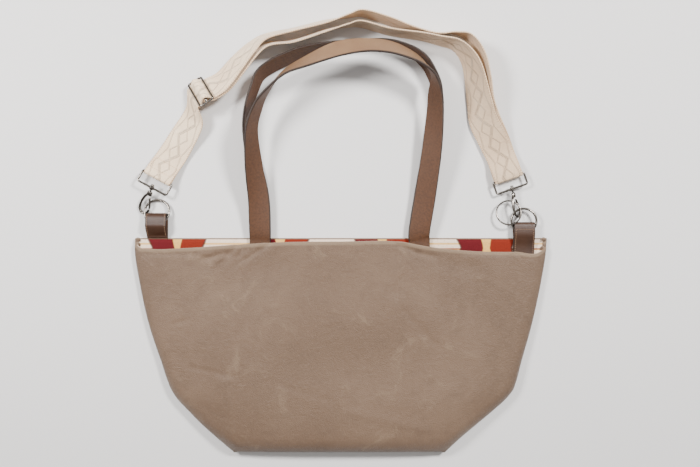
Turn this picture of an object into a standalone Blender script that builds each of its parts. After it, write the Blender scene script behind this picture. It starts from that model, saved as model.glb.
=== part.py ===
# Wide leather tote bag lying on its back, with twisted strap handles,
# leather tabs with rings, and a webbing shoulder strap on swivel hooks.
# Metres, +Z up, +X along the mouth, +Y from the base to the handles.
# The origin is on the flat of the back wall, where the bag rests.
import math

import bmesh
import bpy
from mathutils import Matrix, Vector

MM = 0.001

# Clearances
GAP = 0.3 * MM                 # between pieces that touch
SEAM_GAP = 1.2 * MM            # between the two walls along their seam

# Bag body
MOUTH_WIDTH = 492 * MM
RIM_Y = 132 * MM               # back rim
BASE_Y = -121.5 * MM           # bottom edge
LEATHER = 1.6 * MM
LINING = 0.8 * MM
LINING_EASE = 0.9 * MM         # air between leather and lining
LINING_DROP = 1.5 * MM         # the lining ends this far below the rim
FRONT_LIFT = 27 * MM           # highest point of the front wall
SEAM_LIFT = 9 * MM             # seam height at the base
SIDE_ROLL = 15 * MM            # plan width of the rounded side of the front wall
BASE_ROLL = 20 * MM            # plan width of the rounded bottom of the front wall
BACK_ROLL = 9 * MM             # plan width of the rounded edge of the back wall
TAB_BULGE = 1.3 * MM           # the back lining rises over the left tab
BODY_HEIGHT = RIM_Y - BASE_Y

# Outline of the body: share of its height above the base, then the left
# and right half widths as shares of half the mouth's width
OUTLINE = (
    (0.00, 0.520, 0.502),
    (0.065, 0.600, 0.574),
    (0.13, 0.676, 0.655),
    (0.19, 0.738, 0.730),
    (0.245, 0.792, 0.794),
    (0.285, 0.820, 0.828),
    (0.33, 0.840, 0.846),
    (0.41, 0.868, 0.868),
    (0.58, 0.928, 0.918),
    (0.80, 0.979, 0.968),
    (0.93, 1.000, 0.990),
    (1.00, 1.002, 0.997),
)
# Front wall seen from the side: share of the body's height, share of FRONT_LIFT
FRONT_PROFILE = (
    (0.00, 0.97),
    (0.10, 1.00),
    (0.22, 0.95),
    (0.40, 0.80),
    (0.60, 0.68),
    (0.80, 0.58),
    (0.93, 0.58),
    (1.00, 0.60),
)
SIDE_FALL = 0.30               # share of the front's lift lost at its sides
# Seam: share of the body's height, share of SEAM_LIFT
SEAM_PROFILE = ((0.0, 1.0), (0.3, 0.72), (1.0, 0.58))
# Front rim: share across from left to right, share of the body's height
# that it lies below the back rim
RIM_DIPS = (
    (-1.00, 0.018),
    (-0.93, 0.047),
    (-0.75, 0.046),
    (-0.55, 0.034),
    (-0.30, 0.020),
    (0.00, 0.016),
    (0.28, 0.017),
    (0.45, 0.044),
    (0.60, 0.058),
    (0.85, 0.064),
    (0.96, 0.060),
    (1.00, 0.030),
)
# Soft folds of the front wall: both ends as shares of half the mouth's width
# and of the body's height, then depth and width as shares of FRONT_LIFT
FOLDS = (
    ("base_crease", -0.53, 0.02, -0.56, 0.33, 0.050, 0.30),
    ("left_dimple", -0.66, 0.88, -0.42, 0.96, -0.045, 0.40),
    ("left_hollow", -0.60, 0.78, -0.30, 0.88, -0.045, 0.80),
    ("right_crease", 0.27, 0.76, 0.27, 0.97, -0.040, 0.30),
    ("right_wave", 0.30, 0.95, 0.62, 0.86, -0.055, 0.50),
    ("left_gusset", -0.83, 0.26, -0.66, 0.17, -0.060, 0.60),
    ("right_gusset", 0.83, 0.26, 0.66, 0.17, -0.060, 0.60),
    ("belly", -0.30, 0.45, 0.35, 0.40, -0.040, 1.60),
)

# Handles
HANDLE_WIDTH = 25 * MM
HANDLE_THICK = 2.8 * MM
HANDLE_SPREAD = 188.5 * MM     # between the legs' middles at the mouth
HANDLE_CENTRE_X = -2.7 * MM
HANDLE_REACH = 222 * MM        # from the front rim's middle to the arch's top
HANDLE_LIFT = 48 * MM          # height of the front handle's highest station
HANDLE_TUCK = 24 * MM          # length inside the mouth
# Stations of a handle from left to right: share of half the spread across,
# share of the reach, share of the lift, lean of the strap in degrees
FRONT_HANDLE = (
    (-0.998, 0.06, 0.215, -2),
    (-1.010, 0.23, 0.31, -20),
    (-1.055, 0.40, 0.50, -43),
    (-1.070, 0.58, 0.69, -65),
    (-0.990, 0.695, 0.79, -76),
    (-0.892, 0.764, 0.875, -90),
    (-0.670, 0.864, 0.94, -110),
    (-0.392, 0.921, 0.98, -128),
    (-0.010, 0.984, 1.00, -145),
    (0.329, 1.004, 1.00, -139),
    (0.619, 0.995, 0.98, -134),
    (0.872, 0.958, 0.94, -122),
    (1.032, 0.919, 0.875, -108),
    (1.160, 0.862, 0.77, -90),
    (1.184, 0.778, 0.67, -58),
    (1.185, 0.663, 0.56, -44),
    (1.153, 0.482, 0.44, -27),
    (1.082, 0.247, 0.29, -14),
    (1.012, 0.06, 0.215, -2),
)
BACK_HANDLE = (
    (-0.998, 0.06, 0.096, -2),
    (-1.010, 0.23, 0.135, -20),
    (-1.075, 0.42, 0.232, -52),
    (-1.153, 0.593, 0.285, -75),
    (-1.136, 0.709, 0.29, -78),
    (-1.065, 0.810, 0.29, -77),
    (-0.990, 0.885, 0.285, -72),
    (-0.839, 0.935, 0.28, -68),
    (-0.651, 0.973, 0.28, -68),
    (-0.439, 1.007, 0.285, -71),
    (-0.114, 1.034, 0.29, -76),
    (0.337, 1.052, 0.29, -80),
    (0.638, 1.050, 0.29, -80),
    (0.901, 1.013, 0.29, -76),
    (1.056, 0.964, 0.285, -72),
    (1.145, 0.908, 0.285, -72),
    (1.220, 0.821, 0.28, -68),
    (1.214, 0.698, 0.26, -55),
    (1.188, 0.539, 0.21, -38),
    (1.088, 0.274, 0.145, -16),
    (1.012, 0.06, 0.096, -2),
)

# Shoulder webbing
STRAP_WIDTH = 34.5 * MM
STRAP_THICK = 1.7 * MM
STRAP_REACH = 193 * MM         # from the bars to the arch's highest point
# Stations of the outer layer, left to right: share of the span, share of the
# reach, plan direction of the width and its lean in degrees, and the height
# above its rest in strap thicknesses
OUTER_RISE = (
    (0.039, 0.140, -32, 2, 1.2),
    (0.066, 0.236, -36, 8, 0.4),
    (0.103, 0.375, -45, 22, 0.3),
)
OUTER_ARCH = (
    (0.187, 0.590, -57, 36, 2.3),
    (0.231, 0.702, -47, 44, 2.0),
    (0.271, 0.794, -50, 54, 1.6),
    (0.311, 0.857, -62, 64, 0.7),
    (0.390, 0.899, -73, 69, 0.2),
    (0.481, 0.949, -72, 69, 0.0),
    (0.543, 0.981, -72, 80, 0.0),
    (0.586, 0.996, -88, 87, 0.0),
    (0.661, 0.946, -115, 90, 0.0),
    (0.719, 0.903, -108, 86, 0.0),
    (0.789, 0.876, -94, 76, 0.0),
    (0.843, 0.878, -95, 78, 0.0),
    (0.885, 0.844, -128, 90, 0.0),
    (0.911, 0.732, -160, 107, 0.0),
    (0.921, 0.593, -168, 118, 0.0),
    (0.922, 0.468, -168, 136, 0.0),
    (0.935, 0.361, -158, 152, 0.0),
    (0.959, 0.247, -158, 166, 0.0),
    (0.981, 0.132, -160, 178, 0.4),
)
# Stations of the inner layer, in the same way
INNER_ARCH = (
    (0.190, 0.580, -57, 36, 0.3),
    (0.237, 0.690, -47, 44, 0.2),
    (0.280, 0.776, -50, 56, 0.2),
    (0.322, 0.813, -66, 68, 0.3),
    (0.390, 0.830, -75, 70, 0.2),
    (0.481, 0.895, -70, 70, 0.0),
    (0.543, 0.923, -74, 80, 0.0),
    (0.583, 0.930, -90, 87, 0.0),
    (0.661, 0.884, -110, 88, 0.0),
    (0.750, 0.856, -98, 90, 0.0),
    (0.803, 0.829, -103, 93, 0.0),
    (0.846, 0.805, -118, 98, 0.0),
    (0.877, 0.741, -145, 108, 0.0),
    (0.896, 0.650, -160, 120, 0.3),
)
# Where the inner layer lies on the last rows of the outer arch: share of the
# width to the side, height in thicknesses
INNER_LAY = (
    (-0.05, 1.8),
    (-0.09, 1.8),
    (-0.06, 1.7),
    (-0.02, 1.7),
)
# Webbing at the loops: distance ahead of the bar and height, in thicknesses
LEFT_TAIL = ((11.8, -0.60), (5.9, -0.75), (2.6, -1.25))
LEFT_START = ((2.6, 1.25), (6.5, 0.75))
RIGHT_BELOW = ((6.5, -1.0), (2.6, -1.4))
RIGHT_ABOVE = ((6.5, 0.9), (2.6, 1.4))
# Folds round the bars, in degrees from straight ahead
LEFT_FOLD = (-110, -145, -180, -215, -250)
RIGHT_FOLD_BELOW = (-110, -138, -164)
RIGHT_FOLD_ABOVE = (110, 138, 164)
SLIDER_FOLD = (115, 145, 180, 220, 260)
SLIDER_EXIT = 1.9              # the inner layer's depth below the outer one, in thicknesses

# Slider: share of the span and of the reach, bar direction and lean
SLIDER_ACROSS = 0.126
SLIDER_ALONG = 0.519
SLIDER_SWING = -57
SLIDER_LEAN = 30
SLIDER_LEVEL = 4.8             # height over the strap's rest in strap thicknesses
SLIDER_UNDER = 1.90            # the webbing's depth below the outer bars, in thicknesses
# Outer layer through the slider: distance from the middle bar in pitches,
# height in strap thicknesses
SLIDER_PATH = ((-1.45, -2.3), (-1.0, -SLIDER_UNDER), (0.0, 3.15), (1.0, -SLIDER_UNDER), (1.45, -2.3))
TAIL_SLOPE = -13               # of the sewn tail at the left loop, degrees
SLIDER_WIRE = 1.1 * MM         # radius
SLIDER_PITCH = 9.0 * MM        # from the middle bar to each outer bar
SLIDER_SIDE_ROOM = 1.3 * MM    # beside the webbing, each side

# Hooks, loops and rings
WIRE = 1.1 * MM                # radius of the loops' wire
LOOP_SIDE_ROOM = 0.9 * MM      # beside the webbing, each side
LOOP_DEPTH = 14.2 * MM         # between its two bars, in plan
LOOP_CORNER = 2.2 * MM         # corner radius of loops and slider
RING_RADIUS = 14.6 * MM        # to the middle of the wire
RING_WIRE = 1.4 * MM           # radius
KEY_RADIUS = 14.4 * MM
KEY_WIRE = 1.1 * MM
HOOK_WIRE = 1.3 * MM           # radius of the hook's bow
HOOK_LENGTH = 33.7 * MM        # from the loop's bar to the middle of the bow's end
HOOK_HALF_WIDTH = 6.2 * MM     # from the hook's axis to the middle of the wire
NECK_WIDTH = 6.4 * MM
NECK_THICK = 3.6 * MM
NECK_START = 0.13              # shares of HOOK_LENGTH
NECK_END = 0.31
PIN_RADIUS = 1.0 * MM
BARREL_RADIUS = 2.6 * MM
BARREL_LENGTH = 4.4 * MM
BORE_CLEARANCE = 0.3 * MM
GATE_WIDTH = 2.0 * MM
GATE_GAP = 1.0 * MM
# Middle line of the bow's wire from the neck round to the tip: share of
# HOOK_HALF_WIDTH to the side, share of HOOK_LENGTH along
BOW = (
    (0.24, 0.25),
    (0.68, 0.385),
    (0.94, 0.56),
    (1.00, 0.74),
    (0.90, 0.875),
    (0.52, 0.967),
    (0.00, 1.00),
    (-0.52, 0.967),
    (-0.90, 0.875),
    (-1.00, 0.79),
)
GATE_FOOT = (-0.30, 0.372)     # the lever's pivot, in the same shares
GATE_ROUND = 0.5 * MM
NECK_ROUND = 0.6 * MM
PIN_PAST = 1.2 * MM            # the pin's length past the barrel
PIN_IN_NECK = 0.8 * MM
HEAD_RADIUS = 2.08 * MM
HEAD_PAST = 1.9 * MM

# Rings: share of half the mouth across, then in ring radii the distance beyond
# the back rim and the height, and the tilts in degrees
LEFT_RING = (-0.8935, 2.144, 0.4247, -13.9, -1.0)
RIGHT_RING = (0.8833, 1.395, 0.4521, -0.7, 5.7)
KEY_OFFSET = (-1.274, 0.665, 0.165)    # from the right ring, in ring radii
KEY_TILTS = (-9.5, 3.9)
# Hooks: the bow's end from its ring in ring radii, then heading, pitch and roll
LEFT_HOOK = ((-1.267, -0.0685, -0.298), -115.2, 16.7, -7.2)
RIGHT_HOOK = ((-0.452, 0.349, 0.0438), -77.2, 0.5, 43.7)
# Bars of the loops: height, and the plan direction in degrees
LEFT_BAR_LIFT = 9.6 * MM
RIGHT_BAR_LIFT = 8.0 * MM
LEFT_BAR_SWING = -28.3
RIGHT_BAR_SWING = 19.4

# Tabs
TAB_WIDTH = 24.8 * MM
TAB_THICK = 1.4 * MM
LEFT_TAB_REACH = 29 * MM       # from the back rim to the fold's middle line
RIGHT_TAB_REACH = 18.4 * MM
TAB_HEIGHT = 12.6 * MM         # to the middle line of the highest layer
# Middle line of each folded tab from its lower to its upper end: share of its
# reach beyond the back rim, share of TAB_HEIGHT
LEFT_TAB_PATH = (
    (-0.690, 0.206), (-0.276, 0.206), (0.207, 0.206), (0.483, 0.206),
    (0.800, 0.206), (0.938, 0.302), (1.000, 0.524), (0.945, 0.786),
    (0.828, 0.937), (0.621, 1.000), (0.466, 0.984), (0.276, 0.730),
    (0.124, 0.429), (0.031, 0.349),
)
RIGHT_TAB_PATH = (
    (-1.630, 0.341), (-0.761, 0.341), (0.082, 0.341), (0.326, 0.254),
    (0.717, 0.198), (0.935, 0.286), (1.000, 0.508), (0.935, 0.754),
    (0.728, 0.857), (0.272, 0.857), (-0.054, 0.730), (-0.435, 0.556),
    (-0.870, 0.476), (-1.250, 0.476), (-1.630, 0.476),
)

# Triangle counts
ROLL_TURNS = (0, 8, 30, 58, 90)    # degrees round a rolled edge, steep first
WALL_COLUMNS = 22
FRONT_ROWS = 13
BACK_ROWS = 6
SPAN_STEPS = 2                 # ribbon samples per table row


def table(rows, share, column):
    # Straight interpolation in a table whose first number column rises
    if share <= rows[0][0]:
        return rows[0][column]
    for low, high in zip(rows, rows[1:]):
        if share <= high[0]:
            part = (share - low[0]) / (high[0] - low[0])
            return low[column] + part * (high[column] - low[column])
    return rows[-1][column]


def smooth_step(value, low, high):
    part = min(max((value - low) / (high - low), 0.0), 1.0)
    return part * part * (3 - 2 * part)


def roll(distance, radius):
    # Quarter of an ellipse, from 0 at the edge to 1 one radius in
    part = min(max(distance / radius, 0.0), 1.0)
    return math.sqrt(1 - (1 - part) ** 2)


def roll_steps(radius):
    return [radius * (1 - math.cos(math.radians(turn))) for turn in ROLL_TURNS]


def fold_depth(x, y):
    # Sum of the soft creases at a point of the front wall
    depth = 0.0
    for _, x0, h0, x1, h1, deep, wide in FOLDS:
        start = Vector((x0 * MOUTH_WIDTH / 2, BASE_Y + h0 * BODY_HEIGHT))
        run = Vector((x1 * MOUTH_WIDTH / 2, BASE_Y + h1 * BODY_HEIGHT)) - start
        part = min(max((Vector((x, y)) - start).dot(run) / run.length_squared, 0.0), 1.0)
        away = (Vector((x, y)) - start - run * part).length
        depth += deep * math.exp(-(away / (wide * FRONT_LIFT)) ** 2)
    return depth * FRONT_LIFT


def front_lift(x, y):
    # Height of the front wall's outer face away from its rolled edges
    share = (y - BASE_Y) / BODY_HEIGHT
    side = abs(x) / (MOUTH_WIDTH / 2 * table(OUTLINE, share, 1 if x < 0 else 2))
    lift = FRONT_LIFT * table(FRONT_PROFILE, share, 1)
    return lift * (1 - SIDE_FALL * min(side, 1.0) ** 3) + fold_depth(x, y)


def seam_lift(y):
    return SEAM_LIFT * table(SEAM_PROFILE, (y - BASE_Y) / BODY_HEIGHT, 1)


def tab_bulge(x, y):
    # The back lining steps over the left tab, which is sewn in behind it
    across = 1 - smooth_step(x / (MOUTH_WIDTH / 2), -0.74, -0.60)
    along = smooth_step((y - BASE_Y) / BODY_HEIGHT, 0.68, 0.82)
    return TAB_BULGE * across * along


def wall_rows(top_y, base_y, base_roll, count):
    low = roll_steps(base_roll)
    start = base_y + low[-1]
    rows = [base_y + d for d in low]
    rows += [start + (top_y - start) * k / count for k in range(1, count + 1)]
    return rows


def slant(share, column):
    # Length of the outline's slanted edge for each unit of height
    step = 0.03
    low = max(share - step, 0.0)
    high = min(share + step, 1.0)
    run = (table(OUTLINE, high, column) - table(OUTLINE, low, column)) * MOUTH_WIDTH / 2
    return math.hypot(1.0, run / ((high - low) * BODY_HEIGHT))


def wall_surface(front, inset, drop, row_count):
    # Grid of points from the base to the rim, left to right, on the wall's
    # outer face moved in by inset
    side_roll = (SIDE_ROLL if front else BACK_ROLL) - inset
    base_roll = (BASE_ROLL if front else BACK_ROLL) - inset
    steps = roll_steps(side_roll)
    columns = [("left", d) for d in steps]
    columns += [("middle", k / WALL_COLUMNS) for k in range(1, WALL_COLUMNS)]
    columns += [("right", d) for d in reversed(steps)]
    grid = []
    for kind, value in columns:
        half = MOUTH_WIDTH / 2
        share = {"left": -1 + value / half, "right": 1 - value / half}.get(kind, 2 * value - 1)
        dip = table(RIM_DIPS, share, 1) * BODY_HEIGHT if front else 0.0
        line = []
        for y in wall_rows(RIM_Y - dip - drop, BASE_Y + inset, base_roll, row_count):
            height = (y - BASE_Y) / BODY_HEIGHT
            slant_left = slant(height, 1)
            slant_right = slant(height, 2)
            left = -half * table(OUTLINE, height, 1) + inset * slant_left
            right = half * table(OUTLINE, height, 2) - inset * slant_right
            inner_left = left + side_roll * slant_left
            inner_right = right - side_roll * slant_right
            x = {
                "left": left + value * slant_left,
                "right": right - value * slant_right,
            }.get(kind, inner_left + (inner_right - inner_left) * value)
            side = min((x - left) / slant_left, (right - x) / slant_right)
            crown = roll(side, side_roll) * roll(y - BASE_Y - inset, base_roll)
            if front:
                low = seam_lift(y) + SEAM_GAP / 2
                z = low + (front_lift(x, y) - inset - low) * crown
            else:
                high = seam_lift(y) - SEAM_GAP / 2
                rest = inset + (tab_bulge(x, y) if inset > 0 else 0.0)
                z = rest + (high - rest) * (1 - crown)
            line.append(Vector((x, y, z)))
        grid.append(line)
    return grid


def material(name, colour, roughness, metallic=0.0):
    mat = bpy.data.materials.new(name)
    mat.use_nodes = True
    shader = mat.node_tree.nodes["Principled BSDF"]
    shader.inputs["Base Color"].default_value = (*colour, 1.0)
    shader.inputs["Roughness"].default_value = roughness
    shader.inputs["Metallic"].default_value = metallic
    mat.diffuse_color = (*colour, 1.0)
    return mat


def new_object(name, mesh, mat):
    mesh.materials.clear()
    mesh.materials.append(mat)
    obj = bpy.data.objects.new(name, mesh)
    PARTS.objects.link(obj)
    return obj


def sheet_object(name, grid, thickness, offset, even, mat):
    # An open surface through a grid of points, given its wall by Solidify
    rows = len(grid[0])
    points = [point for line in grid for point in line]
    faces = []
    for i in range(len(grid) - 1):
        for j in range(rows - 1):
            a = i * rows + j
            faces.append((a, a + rows, a + rows + 1, a + 1))
    mesh = bpy.data.meshes.new(name)
    mesh.from_pydata(points, [], faces)
    mesh.update()
    obj = new_object(name, mesh, mat)
    wall = obj.modifiers.new("Wall", "SOLIDIFY")
    wall.thickness = thickness
    wall.offset = offset
    wall.use_even_offset = even
    mesh.shade_smooth()
    return obj


def spline(rows):
    # Catmull-Rom through the rows, all columns alike
    out = []
    padded = [rows[0]] + list(rows) + [rows[-1]]
    for p0, p1, p2, p3 in zip(padded, padded[1:], padded[2:], padded[3:]):
        for k in range(SPAN_STEPS):
            t = k / SPAN_STEPS
            out.append(tuple(
                0.5 * (2 * b + (c - a) * t + (2 * a - 5 * b + 4 * c - d) * t * t
                       + (3 * b - a - 3 * c + d) * t ** 3)
                for a, b, c, d in zip(p0, p1, p2, p3)))
    out.append(tuple(rows[-1]))
    return out


def width_vector(swing, lean):
    swing = math.radians(swing)
    lean = math.radians(lean)
    return Vector((math.cos(swing) * math.cos(lean), math.sin(swing) * math.cos(lean), math.sin(lean)))


def ribbon(name, stations, width, thickness, mat, square=True):
    # Flat strap along stations of x, y, z, swing and lean of its width,
    # which is squared to the path unless the strap runs skew
    points = [Vector(row[:3]) for row in stations]
    grid = [[], []]
    for k, row in enumerate(stations):
        run = (points[min(k + 1, len(points) - 1)] - points[max(k - 1, 0)]).normalized()
        across = width_vector(row[3], row[4])
        if square:
            across = (across - run * across.dot(run)).normalized()
        across *= width / 2
        grid[0].append(points[k] - across)
        grid[1].append(points[k] + across)
    return sheet_object(name, grid, thickness, 0.0, True, mat)


def curve_object(name, points, radius, cyclic, resolution, mat):
    # Round wire on a poly line
    data = bpy.data.curves.new(name, "CURVE")
    data.dimensions = "3D"
    line = data.splines.new("POLY")
    line.points.add(len(points) - 1)
    for target, point in zip(line.points, points):
        target.co = (*point, 1.0)
    line.use_cyclic_u = cyclic
    data.bevel_depth = radius
    data.bevel_resolution = resolution
    data.use_fill_caps = not cyclic
    data.materials.append(mat)
    obj = bpy.data.objects.new(name, data)
    PARTS.objects.link(obj)
    return obj


def as_mesh(obj, mat):
    # Turn a wire into a welded mesh object of the same name
    name = obj.name
    graph = bpy.context.evaluated_depsgraph_get()
    mesh = bpy.data.meshes.new_from_object(obj.evaluated_get(graph))
    work = bmesh.new()
    work.from_mesh(mesh)
    bmesh.ops.remove_doubles(work, verts=work.verts, dist=0.00001)
    bmesh.ops.recalc_face_normals(work, faces=work.faces)
    work.to_mesh(mesh)
    work.free()
    data = obj.data
    bpy.data.objects.remove(obj)
    bpy.data.curves.remove(data)
    return new_object(name, mesh, mat)


def frame_matrix(origin, side, ahead):
    # Local X to the side, local Y ahead, local Z up from both
    up = side.cross(ahead)
    return Matrix.Translation(origin) @ Matrix((side, ahead, up)).transposed().to_4x4()


def rounded_loop(length, depth, corner, origin, side, ahead):
    # Points of a rectangle with round corners, its first bar on the origin
    points = []
    for cx, cy, start in (
        (length / 2 - corner, corner, -90),
        (length / 2 - corner, depth - corner, 0),
        (corner - length / 2, depth - corner, 90),
        (corner - length / 2, corner, 180),
    ):
        for k in range(4):
            turn = math.radians(start + 30 * k)
            x = cx + corner * math.cos(turn)
            y = cy + corner * math.sin(turn)
            points.append(origin + side * x + ahead * y)
    return points


def join_into(base, others):
    # Boolean union of the others into the base, applied at once
    for other in others:
        union = base.modifiers.new("Join", "BOOLEAN")
        union.operation = "UNION"
        union.solver = "EXACT"
        union.object = other
    graph = bpy.context.evaluated_depsgraph_get()
    mesh = bpy.data.meshes.new_from_object(base.evaluated_get(graph))
    base.modifiers.clear()
    base.data = mesh
    for other in others:
        bpy.data.objects.remove(other)


def cut_with(base, cutter):
    cut = base.modifiers.new("Cut", "BOOLEAN")
    cut.operation = "DIFFERENCE"
    cut.solver = "EXACT"
    cut.object = cutter
    PARTS.objects.unlink(cutter)
    CUTTERS.objects.link(cutter)
    cutter.hide_render = True
    cutter.display_type = "WIRE"


def placed(name, matrix, mat):
    # Take the primitive that was just added and place it
    obj = bpy.context.object
    obj.name = name
    obj.data.name = name
    for collection in list(obj.users_collection):
        collection.objects.unlink(obj)
    PARTS.objects.link(obj)
    obj.data.materials.clear()
    obj.data.materials.append(mat)
    obj.matrix_world = matrix
    return obj


def cylinder(name, radius, start, end, matrix, mat, sides=12):
    # Cylinder along the frame's local Y from start to end
    bpy.ops.mesh.primitive_cylinder_add(vertices=sides, radius=radius, depth=end - start)
    middle = Matrix.Translation((0, (start + end) / 2, 0))
    turn = Matrix.Rotation(math.radians(90), 4, "X")
    return placed(name, matrix @ middle @ turn, mat)


def block(name, size, middle, turn_z, bevel, matrix, mat):
    bpy.ops.mesh.primitive_cube_add(size=1)
    local = Matrix.Translation(middle) @ Matrix.Rotation(turn_z, 4, "Z")
    obj = placed(name, matrix @ local, mat)
    obj.data.transform(Matrix.Diagonal((*size, 1)))
    edge = obj.modifiers.new("Edge", "BEVEL")
    edge.width = bevel
    edge.segments = 1
    return obj


def bake_modifiers(obj):
    graph = bpy.context.evaluated_depsgraph_get()
    mesh = bpy.data.meshes.new_from_object(obj.evaluated_get(graph))
    obj.modifiers.clear()
    obj.data = mesh


def build_walls(leather, cloth):
    inset = LEATHER + LINING_EASE
    for front, name, rows in ((True, "front", FRONT_ROWS), (False, "back", BACK_ROWS)):
        skin = sheet_object(name + "_panel", wall_surface(front, 0.0, 0.0, rows), LEATHER, -1.0, False,
                            leather)
        cover = sheet_object(name + "_lining", wall_surface(front, inset, LINING_DROP, rows),
                             LINING, -1.0, False, cloth)
        if not front:
            skin.data.flip_normals()
            cover.data.flip_normals()


def handle_stations(rows, tuck_lifts):
    # Table rows in metres, with the straight tucked ends inside the mouth
    base = RIM_Y - table(RIM_DIPS, 0.0, 1) * BODY_HEIGHT
    stations = []
    for side, across in ((0, rows[0][0]), (1, rows[-1][0])):
        x = HANDLE_CENTRE_X + across * HANDLE_SPREAD / 2
        stations.append([
            (x, base - HANDLE_TUCK * part, tuck_lifts[side], 0.0) for part in (1.0, 0.5, 0.0)])
    middle = [
        (HANDLE_CENTRE_X + across * HANDLE_SPREAD / 2, base + reach * HANDLE_REACH,
         lift * HANDLE_LIFT, lean)
        for across, reach, lift, lean in rows]
    path = spline(stations[0] + middle + stations[1][::-1])
    full = []
    swing = 0.0
    for k, row in enumerate(path):
        ahead = Vector(path[min(k + 1, len(path) - 1)]) - Vector(path[max(k - 1, 0)])
        turn = math.degrees(math.atan2(ahead.y, ahead.x)) - 90
        swing += (turn - swing + 180) % 360 - 180
        full.append((row[0], row[1], row[2], swing, row[3]))
    return full


def build_handles(leather):
    base = RIM_Y - table(RIM_DIPS, 0.0, 1) * BODY_HEIGHT
    under = LEATHER + LINING_EASE + LINING + 1.5 * GAP + HANDLE_THICK / 2
    front = []
    for side in (-1, 1):
        x = HANDLE_CENTRE_X + side * HANDLE_SPREAD / 2
        lifts = [front_lift(x + a * HANDLE_WIDTH / 2, base - b * HANDLE_TUCK)
                 for a in (-1, 0, 1) for b in (0, 0.5, 1)]
        front.append(min(lifts) - under)
    ribbon("front_handle", handle_stations(FRONT_HANDLE, front), HANDLE_WIDTH, HANDLE_THICK, leather)
    ribbon("back_handle", handle_stations(BACK_HANDLE, (under, under)), HANDLE_WIDTH, HANDLE_THICK,
           leather)


def ring_place(across, beyond, height):
    return Vector((across * MOUTH_WIDTH / 2, RIM_Y + beyond * RING_RADIUS, height * RING_RADIUS))


def ring_frame(centre, tilt_x, tilt_y):
    side = Vector((1, 0, math.tan(math.radians(tilt_y)))).normalized()
    ahead = Vector((0, 1, math.tan(math.radians(tilt_x))))
    ahead = (ahead - side * ahead.dot(side)).normalized()
    return frame_matrix(centre, side, ahead)


def ring(name, frame, radius, wire, mat):
    bpy.ops.mesh.primitive_torus_add(
        major_radius=radius, minor_radius=wire, major_segments=24, minor_segments=6)
    obj = placed(name, frame, mat)
    obj.data.shade_smooth()
    return obj


def hook_frame(bow_end, heading, pitch, roll_angle):
    # Frame on the loop's bar: local Y runs down the hook to the bow's end
    heading = math.radians(heading)
    pitch = math.radians(pitch)
    roll_angle = math.radians(roll_angle)
    ahead = Vector((math.cos(heading) * math.cos(pitch), math.sin(heading) * math.cos(pitch),
                    -math.sin(pitch)))
    level = ahead.cross(Vector((0, 0, 1))).normalized()
    up = level.cross(ahead)
    side = level * math.cos(roll_angle) + up * math.sin(roll_angle)
    return frame_matrix(bow_end - ahead * HOOK_LENGTH, side, ahead)


def build_hook(side_name, frame, steel):
    # Neck, pin with its head, and the bow in one solid, and the lever apart
    neck_start = NECK_START * HOOK_LENGTH
    neck_end = NECK_END * HOOK_LENGTH
    middle = Vector((0, (neck_start + neck_end) / 2, 0))
    body = block(side_name + "_hook", (NECK_WIDTH, neck_end - neck_start, NECK_THICK), middle, 0.0,
                 NECK_ROUND, frame, steel)
    bake_modifiers(body)
    points = [frame @ Vector((a * HOOK_HALF_WIDTH, b * HOOK_LENGTH, 0)) for a, b in BOW]
    bow = as_mesh(curve_object(side_name + "_bow", points, HOOK_WIRE, False, 2, steel), steel)
    half = BARREL_LENGTH / 2
    pin = cylinder("pin", PIN_RADIUS, -half - PIN_PAST, neck_start + PIN_IN_NECK, frame, steel)
    head = cylinder("head", HEAD_RADIUS, -half - HEAD_PAST, -half - GAP, frame, steel)
    join_into(body, [bow, pin, head])
    foot = Vector((GATE_FOOT[0] * HOOK_HALF_WIDTH, GATE_FOOT[1] * HOOK_LENGTH, 0))
    tip = Vector((BOW[-1][0] * HOOK_HALF_WIDTH, BOW[-1][1] * HOOK_LENGTH - GATE_GAP, 0))
    run = tip - foot
    block(side_name + "_gate", (GATE_WIDTH, run.length, GATE_WIDTH), (foot + tip) / 2,
          math.atan2(-run.x, run.y), GATE_ROUND, frame, steel)


def build_loop(side_name, bar, swing, hook, steel):
    # Wire rectangle round the webbing, with a bored barrel for the hook's pin
    side = width_vector(swing, 0)
    pivot = hook.translation
    ahead = (pivot - bar).normalized()
    ahead = (ahead - side * ahead.dot(side)).normalized()
    length = STRAP_WIDTH + 2 * (LOOP_SIDE_ROOM + WIRE)
    points = rounded_loop(length, (pivot - bar).length, LOOP_CORNER, bar, side, ahead)
    loop = as_mesh(curve_object(side_name + "_loop", points, WIRE, True, 2, steel), steel)
    barrel = cylinder("barrel", BARREL_RADIUS, -BARREL_LENGTH / 2, BARREL_LENGTH / 2, hook, steel)
    join_into(loop, [barrel])
    bore = cylinder(side_name + "_bore", PIN_RADIUS + BORE_CLEARANCE, -BARREL_LENGTH, BARREL_LENGTH,
                    hook, steel, 12)
    cut_with(loop, bore)


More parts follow.
